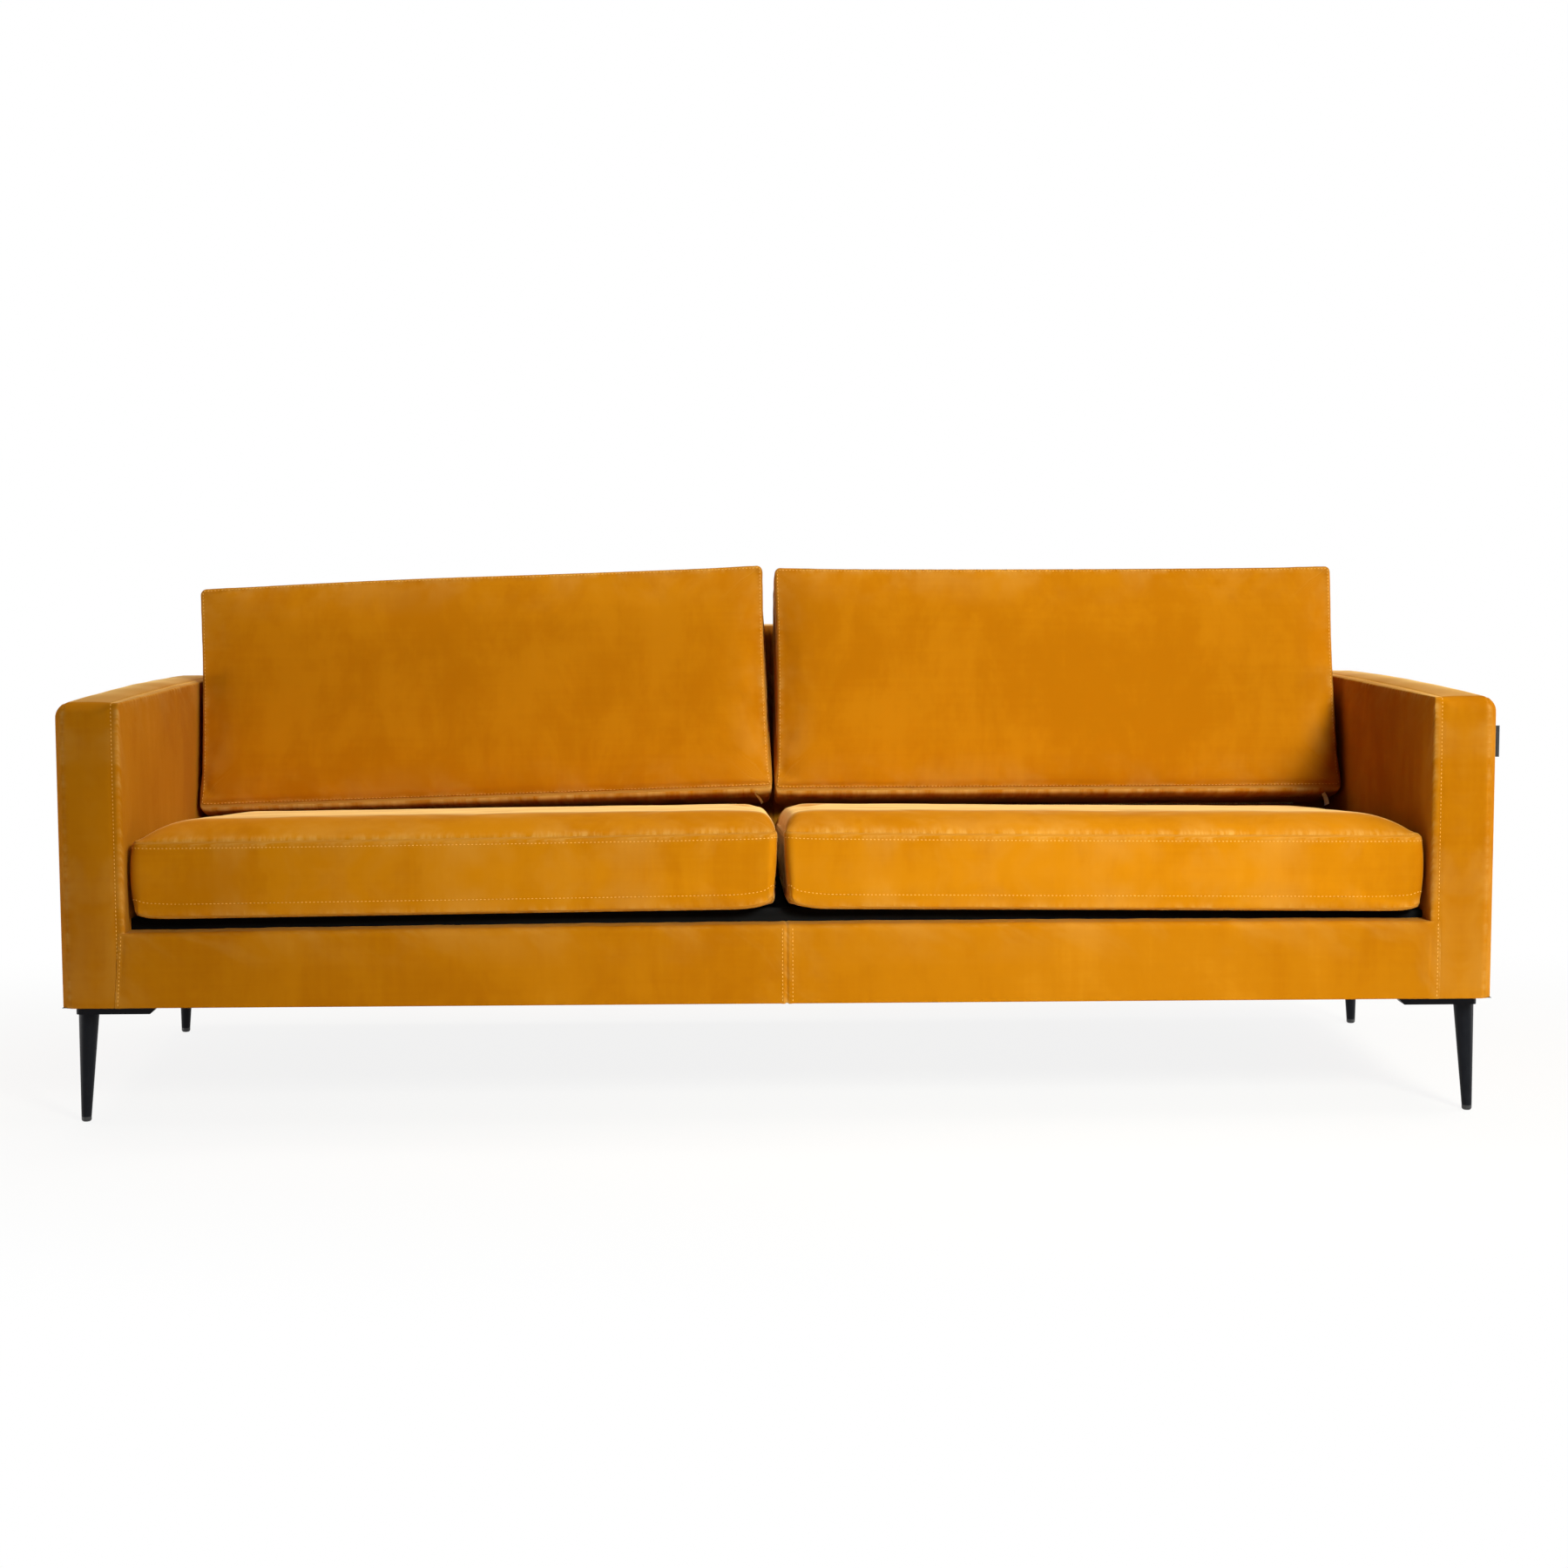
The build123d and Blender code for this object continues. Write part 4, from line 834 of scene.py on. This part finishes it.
class Cushion:
    """A boxed cushion as one closed grid: a crowned panel, a border of rows and a flat under panel.

    Local places run x along the width, y from the front or bottom edge, and z up from the side that it
    rests on. Sizes of the left end, right end, low edge and high edge come in that order: how far the crown
    takes to rise, how far the sides are drawn in, how high the under seam lies and how far the border
    bulges. The under seam is cut in at the left and right ends, and its corners there are lifted. Where a
    roll is given, the crowned panel's lower seam lies that much higher and the border rolls up to it by an
    exponential. The seam loops are kept as point numbers, so that stitches follow the finished cloth."""

    def __init__(self, width, depth, borders, rise, reaches, corner, draws, lips, bulges, cuts, lifts,
                 zip_low, roll=0.0):
        self.half_width, self.depth = width / 2, depth
        half_x, half_y = width / 2, depth / 2
        x, y = np.meshgrid(lines(-half_x, half_x, CUSHION_STEP), lines(-half_y, half_y, CUSHION_STEP),
                           indexing="ij")
        gap_x, gap_y = half_x - np.abs(x), half_y - np.abs(y)

        def at_sides(left, right, low, high):
            """Sizes at each point: its own end's, and its own edge's."""
            return np.where(x < 0, left, right), np.where(y < 0, low, high)

        # The crowned panel and the under panel, drawn in by a parabola along each side and a cube towards it
        draw_x, draw_y = at_sides(*draws)
        px, py = round_corners(x, y, half_x, half_y, corner)
        px = px - np.sign(px) * draw_x * bell(py, -half_y, half_y) * np.power(np.abs(px) / half_x, 3)
        py = py - np.sign(py) * draw_y * bell(px, -half_x, half_x) * np.power(np.abs(py) / half_y, 3)
        reach_x, reach_y = at_sides(*reaches)
        border = borders[0] + (borders[1] - borders[0]) * (py + half_y) / depth
        top_z = border + rise * crown(gap_x, reach_x) * crown(gap_y, reach_y)
        lip_x, lip_y = at_sides(*lips)
        lip_x, lip_y = lip_x * fall(gap_x, LIP_REACH), lip_y * fall(gap_y, LIP_REACH)
        lifted = np.where(x < 0, *lifts) * fall(gap_x, CUT_REACH) * fall(gap_y, CUT_REACH)
        in_x = np.sign(x) * np.where(x < 0, *cuts) * fall(gap_x, CUT_REACH)
        in_y = np.sign(y) * LIP_CUT * lip_y
        lift = roll * fall(y + half_y, ROLL_REACH)
        top = columns(px, py + lift + half_y, top_z)
        low = columns(px - in_x, py - in_y + half_y, np.maximum(lip_x, lip_y) + lifted)

        # The border, down from the crowned panel's seam to the under seam, bulged by a power of a half sine
        height = 0.5 * (borders[0] + borders[1]) - max(lips)
        near = BORDER_ROWS / height
        t = np.concatenate([near, np.linspace(near[-1], 1 - near[-1], MIDDLE_ROWS)[1:-1], 1 - near[::-1]])
        rim, foot = once_round(top), once_round(low)
        ahead = np.roll(rim, -1, axis=0) - np.roll(rim, 1, axis=0)
        out = unit(columns(ahead[:, 1], -ahead[:, 0]))
        left, right, bottom, rear = bulges
        swell = (np.where(out[:, 0] < 0, left, right) * np.square(out[:, 0])
                 + np.where(out[:, 1] < 0, bottom, rear) * np.square(out[:, 1]))
        rows = rim[None] * (1 - t)[:, None, None] + foot[None] * t[:, None, None]
        rounding = np.power(np.sin(np.pi * t), BORDER_ROUND)
        rows[:, :, :2] += out[None] * (swell[None, :] * rounding[:, None])[:, :, None]
        rows[:, :, 1] -= once_round(lift)[None] * ((1 - t) * (1 - np.exp(-t * height / ROLL_FADE)))[:, None]

        # Point numbers and faces
        count, between = x.size, t[1:-1]
        self.top = np.arange(count).reshape(x.shape)
        under = count + self.top
        inner = 2 * count + np.arange(len(between) * len(rim)).reshape(len(between), len(rim))
        self.rows = np.concatenate([once_round(self.top)[None], inner, once_round(under)[None]])
        self.points = np.concatenate([top.reshape(-1, 3), low.reshape(-1, 3), rows[1:-1].reshape(-1, 3)])
        self.faces = np.concatenate([quads(self.top), quads(under, True), quads(closed(self.rows.T).T)])
        self.loop_out = out

        # Each point's run along and gap from its seam, and where the cover is held, sewn or slack
        gap = np.minimum(gap_x, gap_y).ravel()
        run = np.where(gap_x < gap_y, y + END_RUN, x).ravel()
        border_gap = np.repeat(np.minimum(between, 1 - between) * height, len(rim))
        self.gap = np.concatenate([gap, gap, border_gap])
        self.run = np.concatenate([run, run, np.tile(run_along(rim), len(between))])
        zipped = out[:, 1] < -ZIP_FACING if zip_low else out[:, 1] > ZIP_FACING
        self.held = np.concatenate([np.zeros(count), np.ones(count), np.tile(zipped, len(between))])
        self.held[self.rows[0][zipped]] = 1
        self.sewn = hump(self.gap / SEWN_WIDTH)
        slack = np.outer(np.exp(-between * height / SLACK_FADE), zipped * (roll > 0))
        self.loose = np.concatenate([np.zeros(2 * count), slack.ravel()])
        # Away from the slack strip the mark is the plain gap, so each edge gets the painted sheen highlight in
        # full
        self.mark = np.where(self.loose > SLACK_LEAST, SLACK_MARK * self.loose, self.gap)

    def puff(self, pressure, cap):
        """Blow the cover up as cloth, with its under side and zip side held and its seams drawn tighter, and
        keep of each point's move its hyperbolic tangent against a cap."""
        obj = new_mesh("puffing", self.points, self.faces)
        for label, weight in (("held", self.held.round(2)), ("sewn", self.sewn.round(2))):
            chosen = obj.vertex_groups.new(name=label)
            for level in np.unique(weight[weight > 0]):
                chosen.add(np.flatnonzero(weight == level).tolist(), float(level), "REPLACE")
        settings = obj.modifiers.new("cloth", "CLOTH").settings
        for key, value in COVER_CLOTH.items():
            setattr(settings, key, value)
        settings.uniform_pressure_force = pressure
        settings.effector_weights.gravity = 0
        scene = bpy.context.scene
        for number in range(1, PUFF_FRAMES + 1):
            scene.frame_set(number)
        shaped = obj.evaluated_get(bpy.context.evaluated_depsgraph_get())
        places = np.empty(len(self.points) * 3, np.float32)
        shaped.data.vertices.foreach_get("co", places)
        move = places.reshape(-1, 3).astype(float) - self.points
        size = np.linalg.norm(move, axis=1, keepdims=True)
        self.points = self.points + unit(move) * cap * np.tanh(size / cap)
        mesh = obj.data
        bpy.data.objects.remove(obj)
        bpy.data.meshes.remove(mesh)
        scene.frame_set(1)

    def keep_within(self, left, right):
        """Draw in what stands beyond either end, so that it nears a given reach by a hyperbolic tangent."""
        x = self.points[:, 0]
        reach = np.where(x < 0, left, right)
        over = np.maximum(np.abs(x) - self.half_width, 0)
        drawn = np.sign(x) * (self.half_width + reach * np.tanh(over / reach))
        self.points[:, 0] = np.where(over > 0, drawn, x)

    def droop(self, depth):
        """Let the upper left corner sink: by the square of the way to the left end, and with the height."""
        leftwards = np.clip(-self.points[:, 0] / self.half_width, 0, 1)
        self.points[:, 1] -= depth * np.square(leftwards) * np.clip(self.points[:, 1] / self.depth, 0, 1)

    def sew(self, seed, slack=0.0):
        """Seam valleys, puckers as uneven waves along each seam that fade in from it, and on the zip side
        broader waves of a given height where the cloth below the crowned panel's seam is slack."""
        waves = ripple(self.run, seed, waves=[0.019, 0.027, 0.041])
        waves = waves * (0.5 + 0.5 * ripple(self.run, seed + 9, waves=[0.21, 0.13]))
        pucker = PUCKER * waves * np.exp(-self.gap / PUCKER_FADE) * (self.gap > PUCKER_FROM)
        broad = BROAD * uneven(*self.points[:, :2].T, seed + 3, waves=[0.33, 0.19, 0.12])
        broad = broad * smooth(self.gap / BROAD_FROM_SEAM) * (1 - self.held)
        folds = slack * self.loose * (0.4 + ripple(self.run, seed + 5, waves=[0.043, 0.079, 0.13]))
        normal = normals_of(self.points, self.faces)
        self.points = self.points + normal * (seam_dip(self.gap) + pucker + broad + folds)[:, None]

    def border_path(self, row):
        """One row of the border as a closed path, with normals square to the border."""
        return closed(self.points[self.rows[row]]), closed(columns(*self.loop_out.T, 0.0))

    def panel_path(self, inset):
        """A closed path on the crowned panel a number of grid lines in from its seam, with its normals."""
        loop = closed(once_round(self.top[inset:-inset, inset:-inset]))
        return self.points[loop], normals_of(self.points, self.faces)[loop]


# Where the cushions lie
BACK_TURN = np.array([[1, 0, 0], [0, math.sin(BACK_LEAN), -math.cos(BACK_LEAN)],
                      [0, math.cos(BACK_LEAN), math.sin(BACK_LEAN)]])
BACK_ORIGIN = np.array([0, BACK_REST_Y, BACK_REST_Z])


def rotation(axis, angle):
    """A turn about one of the three axes, as a matrix."""
    return np.array(Matrix.Rotation(angle, 3, axis))


def place_seat(side):
    """Turn and place of a seat cushion: the seat's tilt, then its own small roll."""
    shift = np.array([side * CUSHION_MIDDLE, 0, (SEAT_OUTER - CUSHION_MIDDLE) * math.tan(SEAT_ROLL)])
    return SEAT_TURN @ rotation("Y", side * SEAT_ROLL), SEAT_ORIGIN + SEAT_TURN @ shift


def place_back(side):
    """Turn and place of a back cushion: the back's lean, and the left one's slump about its inner corner."""
    if side == RIGHT:
        return BACK_TURN, BACK_ORIGIN + BACK_TURN @ np.array([CUSHION_MIDDLE, 0, 0])
    slump = rotation("Z", LEFT_BACK_ROLL)
    pivot = np.array([-(CUSHION_MIDDLE - CUSHION_WIDTH / 2), LEFT_BACK_LIFT, 0])
    middle = pivot + slump @ np.array([-CUSHION_WIDTH / 2, 0, 0])
    return BACK_TURN @ slump, BACK_ORIGIN + BACK_TURN @ middle


# Zips
TEETH, TOOTH_ASIDE, TOOTH_MIDDLE = 172, 1.1 * MM, 2.0 * MM
TOOTH_SHARE, TOOTH_HALF_WIDTH, TOOTH_HALF_HEIGHT = 0.40, 1.3 * MM, 0.95 * MM
TAPE_HALF, TAPE_THICK, TAPE_WAVE, ZIP_LIFT = 12 * MM, 1.0 * MM, 0.25 * MM, 0.1 * MM
TAPE_CELLS = (90, 9, 3)


def zip_strip():
    """A zip's tape along x: a flat strip with a slight uneven wave."""
    tape, faces = box_lattice(np.linspace(-ZIP_LENGTH / 2, ZIP_LENGTH / 2, TAPE_CELLS[0]),
                              np.linspace(-TAPE_HALF, TAPE_HALF, TAPE_CELLS[1]),
                              np.linspace(ZIP_LIFT, ZIP_LIFT + TAPE_THICK, TAPE_CELLS[2]))
    tape[:, 2] += TAPE_WAVE * ripple(tape[:, 0], seed=51, waves=[0.07, 0.033])
    return tape, faces


def zip_teeth():
    """A zip's teeth along x: small blocks set by turns on either side of its middle."""
    step = ZIP_LENGTH / TEETH
    block, faces = box_lattice(*[np.array([-1.0, 1.0])] * 3)
    number = np.arange(2 * TEETH)
    centre = columns((number + 0.5) * step / 2 - ZIP_LENGTH / 2,
                     np.where(number % 2, TOOTH_ASIDE, -TOOTH_ASIDE), TOOTH_MIDDLE + ZIP_LIFT)
    size = np.array([TOOTH_SHARE * step, TOOTH_HALF_WIDTH, TOOTH_HALF_HEIGHT])
    points = (centre[:, None] + block[None] * size).reshape(-1, 3)
    return points, (faces[None] + len(block) * number[:, None, None]).reshape(-1, 4)


def dress(kind, name, cushion, place, zip_place, stitches):
    """Put a cushion, its stitching and its zip where they lie, on the cushion's own body. A place is a turn
    and a shift, the zip's on the cushion."""
    body = f"{kind}_cushion_{name}"
    sew = columns(cushion.run, cushion.mark)
    points = moved(cushion.points, *place)
    obj = piece(f"{body}_cover", points, cushion.faces, body, ochre_velvet, sew, divide=1)
    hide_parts(f"{kind}_cushion_cover_{name}", f"{kind}_cushion_core_{name}")
    turn = place[0]
    stitching(f"{body}_stitching", body, [(moved(path, *place), out @ turn.T) for path, out in stitches])
    tape, faces = zip_strip()
    points = moved(moved(tape, *zip_place), *place)
    strip = piece(f"{body}_zip_tape", points, faces, body, zip_tape)
    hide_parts(f"{kind}_cushion_zip_{name}")
    teeth, faces = zip_teeth()
    points = moved(moved(teeth, *zip_place), *place)
    piece(f"{body}_zip_teeth", points, faces, body, zip_metal)


def seat_cushions():
    """Two seat cushions: a front border with a topstitched seam above and below, and a zip behind."""
    zip_place = np.array([[1.0, 0, 0], [0, 0, 1], [0, -1, 0]]), np.array([0, SEAT_DEPTH, BORDER_REAR / 2])
    inner = {"bulge": 2.0 * MM, "reach": 0.034, "draw": 0, "cut": 8 * MM, "lift": 12 * MM}
    outer = {"bulge": 7.5 * MM, "reach": 0.12, "draw": 4 * MM, "cut": 2 * MM, "lift": 4 * MM}
    for name, side in SIDES.items():
        left, right = (inner, outer) if side == RIGHT else (outer, inner)
        ends = {key: (left[key], right[key]) for key in inner}
        cushion = Cushion(CUSHION_WIDTH, SEAT_DEPTH, (BORDER_FRONT, BORDER_REAR), rise=29 * MM,
                          reaches=(*ends["reach"], 0.12, 0.17), corner=14 * MM,
                          draws=(*ends["draw"], 3 * MM, 0), lips=(6 * MM, 6 * MM, 2 * MM, 9 * MM),
                          bulges=(*ends["bulge"], 4.5 * MM, 0.0), cuts=ends["cut"], lifts=ends["lift"],
                          zip_low=False)
        cushion.puff(pressure=2.0, cap=3 * MM)
        cushion.keep_within(*ends["bulge"])
        cushion.sew(seed=60 + side)
        stitches = [cushion.border_path(row) for row in (UPPER_STITCH_ROW, LOWER_STITCH_ROW)]
        dress("seat", name, cushion, place_seat(side), zip_place, stitches)


def back_cushions():
    """Two back cushions: a broad front panel topstitched inside its seam, and a zip along the under side."""
    zip_place = np.array([[1.0, 0, 0], [0, 0, -1], [0, 1, 0]]), np.array([0, 0, BACK_ZIP_FROM_REAR])
    inner, outer = 1.8 * MM, 4 * MM
    for name, side in SIDES.items():
        ends = (inner, outer) if side == RIGHT else (outer, inner)
        cushion = Cushion(CUSHION_WIDTH, BACK_HEIGHT, (BACK_BORDER, BACK_BORDER), rise=15 * MM,
                          reaches=(0.17,) * 4, corner=10 * MM, draws=(3 * MM, 3 * MM, 0, 3 * MM),
                          lips=(6 * MM,) * 4, bulges=(*ends, 0.0, 3.0 * MM), cuts=(2 * MM,) * 2,
                          lifts=(8 * MM,) * 2, zip_low=True, roll=12 * MM)
        cushion.puff(pressure=1.5, cap=3.5 * MM)
        cushion.keep_within(*ends)
        if side == LEFT:
            cushion.droop(11 * MM)
        cushion.sew(seed=80 + side, slack=1.2 * MM)
        dress("back", name, cushion, place_back(side), zip_place, [cushion.panel_path(PANEL_STITCH_INSET)])


seat_cushions()
back_cushions()


# Labels
TAB_TURN, TAB_ROOT, TAB_ROWS = 0.6 * MM, 1 * MM, 18
LABEL_CELLS, LABEL_LONG, LABEL_WIDE = 14, 22 * MM, 24 * MM
LABEL_FROM_END, LABEL_BELOW, LABEL_FORWARD, LABEL_CURL = 30 * MM, 0.3 * MM, 5 * MM, 1.6 * MM
LABEL_LEANS, LABEL_TWIST = {LEFT: math.radians(38), RIGHT: math.radians(17)}, math.radians(7)


def side_tab():
    """A bare woven tab, folded double out of the right arm's outer seam: a flat loop, two straight sides and
    a half ellipse, carried along z."""
    low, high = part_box("side_tab")
    t = np.linspace(-np.pi / 2, np.pi / 2, 9)
    fold, half = high[0] - 2 * TAB_TURN, 0.5 * (high[1] - low[1])
    root = low[0] - TAB_ROOT
    x = np.concatenate([[root], fold + TAB_TURN * np.cos(t), [root]])
    y = np.concatenate([[-half], half * np.sin(t), [half]]) + 0.5 * (low[1] + high[1])
    z = np.linspace(low[2], high[2], TAB_ROWS)
    points = columns(np.tile(x, TAB_ROWS), np.tile(y, TAB_ROWS), np.repeat(z, len(x)))
    ring = closed(np.arange(len(points)).reshape(TAB_ROWS, len(x)).T).T
    obj = piece("folded_side_tab", points, quads(ring, True), "frame", black_woven)
    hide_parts("side_tab")


def care_labels():
    """A white satin label at each back cushion's lower right corner: a strip that hangs at a slant, curls by
    a half sine and twists as it goes down."""
    steps = np.linspace(0, 1, LABEL_CELLS)
    u, v = (grid.ravel() for grid in np.meshgrid(steps, steps, indexing="ij"))
    faces = quads(np.arange(len(u)).reshape(LABEL_CELLS, LABEL_CELLS))
    for name, side in SIDES.items():
        down, lean, twist = LABEL_LONG * u, LABEL_LEANS[side], LABEL_TWIST * u
        x = CUSHION_WIDTH / 2 - LABEL_FROM_END + down * math.sin(lean) + LABEL_CURL * np.sin(np.pi * u)
        points = columns(x - LABEL_WIDE * v * np.sin(twist), -down * math.cos(lean) - LABEL_BELOW,
                         BACK_BORDER + LABEL_FORWARD - LABEL_WIDE * v * np.cos(twist))
        obj = piece(f"care_label_strip_{name}", moved(points, *place_back(side)), faces,
                    f"back_cushion_{name}", white_satin)
        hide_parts(f"care_label_{name}")


side_tab()
care_labels()


# Camera, floor and light
CAMERA_PLACE = (-0.091, -4.307, 0.875)
CAMERA_PITCH, CAMERA_YAW, CAMERA_ROLL = math.radians(5.203), math.radians(1.415), math.radians(-0.177)
CAMERA_LENS, CAMERA_SENSOR = 58.85, 36
FLOOR_HALF = 30


def stand(obj, right, up, away, place):
    """Link an object and set where it stands: its own three directions, then its place."""
    rows = [[*triple, at] for triple, at in zip(zip(right, up, away), place)]
    obj.matrix_world = Matrix(rows + [[0, 0, 0, 1]])
    bpy.context.scene.collection.objects.link(obj)


def set_camera():
    """The camera at the photograph's angle: a place, a pitch down, a yaw and a small roll."""
    level = math.cos(CAMERA_PITCH)
    ahead = np.array([math.sin(CAMERA_YAW) * level, math.cos(CAMERA_YAW) * level, -math.sin(CAMERA_PITCH)])
    right = np.array([math.cos(CAMERA_YAW), -math.sin(CAMERA_YAW), 0])
    up = np.cross(right, ahead)
    rolled_right = math.cos(CAMERA_ROLL) * right + math.sin(CAMERA_ROLL) * up
    rolled_up = -math.sin(CAMERA_ROLL) * right + math.cos(CAMERA_ROLL) * up
    data = bpy.data.cameras.new("camera")
    data.sensor_width = CAMERA_SENSOR
    data.lens = CAMERA_LENS
    camera = bpy.data.objects.new("camera", data)
    stand(camera, rolled_right, rolled_up, -ahead, CAMERA_PLACE)
    bpy.context.scene.camera = camera


def lamp(name, place, aim, size, power, colour, beam=180):
    """A soft oblong lamp at a place, aimed at a point, with a beam of so many degrees."""
    data = bpy.data.lights.new(name, "AREA")
    data.shape = "RECTANGLE"
    data.size, data.size_y = size
    data.energy = power
    data.spread = math.radians(beam)
    data.color = colour
    away = unit(np.array(place) - np.array(aim))
    across = unit(np.cross([0, 0, 1], away))
    stand(bpy.data.objects.new(name, data), across, np.cross(away, across), away, place)


def bare_tree(owner):
    """The emptied node tree of a material or a world."""
    owner.use_nodes = True
    owner.node_tree.nodes.clear()
    return owner.node_tree


def white_to_camera(tree, white_kind, lit, part):
    """A shader that shows as plain white to the camera and in reflections by a part, or else as lit."""
    path = make(tree, "ShaderNodeLightPath").outputs
    seen = calc(tree, "MAXIMUM", path["Is Camera Ray"],
                calc(tree, "MAXIMUM", path["Is Glossy Ray"], path["Is Transmission Ray"]))
    white = make(tree, white_kind, Color=(1, 1, 1), Strength=1.0).outputs[0]
    factor = calc(tree, "MULTIPLY", seen, part)
    return make(tree, "ShaderNodeMixShader", i0=factor, i1=lit, i2=white).outputs[0]


def set_floor():
    """A pale floor that turns white further out."""
    material = bpy.data.materials.new("pale_floor")
    tree = bare_tree(material)
    diffuse = make(tree, "ShaderNodeBsdfDiffuse", Color=(0.84, 0.80, 0.75)).outputs[0]
    away = make(tree, "ShaderNodeVectorMath", {"operation": "LENGTH"}, i0=object_place(tree, (0.5, 1, 1)))
    part = spread(tree, away.outputs["Value"], 0.4, 1.5, to_low=0.86)
    make(tree, "ShaderNodeOutputMaterial",
         Surface=white_to_camera(tree, "ShaderNodeEmission", diffuse, part))
    mesh = bpy.data.meshes.new("floor")
    corners = [(-1, -1), (1, -1), (1, 1), (-1, 1)]
    mesh.from_pydata([(FLOOR_HALF * x, FLOOR_HALF * y, 0) for x, y in corners], [], [(0, 1, 2, 3)])
    mesh.materials.append(material)
    floor = bpy.data.objects.new("floor", mesh)
    bpy.context.scene.collection.objects.link(floor)


def set_surround():
    """A surround that shows white and gives a little warm light."""
    world = bpy.data.worlds.new("surround")
    tree = bare_tree(world)
    sky = make(tree, "ShaderNodeBackground", Color=(1.0, 0.88, 0.74), Strength=0.04).outputs[0]
    make(tree, "ShaderNodeOutputWorld", Surface=white_to_camera(tree, "ShaderNodeBackground", sky, 1.0))
    bpy.context.scene.world = world


def set_lamps():
    """A key lamp in front of the right half, one above each half, one behind, and a low one at each side."""
    lamp("key", (1.9, -3.9, 2.3), aim=(0.3, -0.3, 0.15), size=(1.0, 1.0), power=27.5,
         colour=(0.98, 1.04, 0.95), beam=60)
    lamp("overhead", (1.8, -0.5, 2.9), aim=(0.2, -0.1, 0.4), size=(1.5, 1.0), power=38,
         colour=(1.0, 0.98, 0.94))
    lamp("above_left", (-0.8, 0.6, 2.9), aim=(-0.6, 0.0, 0.5), size=(2.2, 0.6), power=7,
         colour=(1.0, 0.98, 0.94), beam=70)
    lamp("rear", (0.2, 3.4, 0.6), aim=(0.0, 0.4, 0.45), size=(3.0, 0.8), power=60, colour=(1.0, 0.98, 0.96))
    for name, side in SIDES.items():
        lamp(f"{name}_low", (3.6 * side, 0.0, 0.35), aim=(1.1 * side, 0.0, 0.35), size=(1.6, 0.4), power=40,
             colour=(1.0, 0.98, 0.96))


set_camera()
set_floor()
set_surround()
set_lamps()
bpy.context.scene.view_settings.view_transform = "Standard"
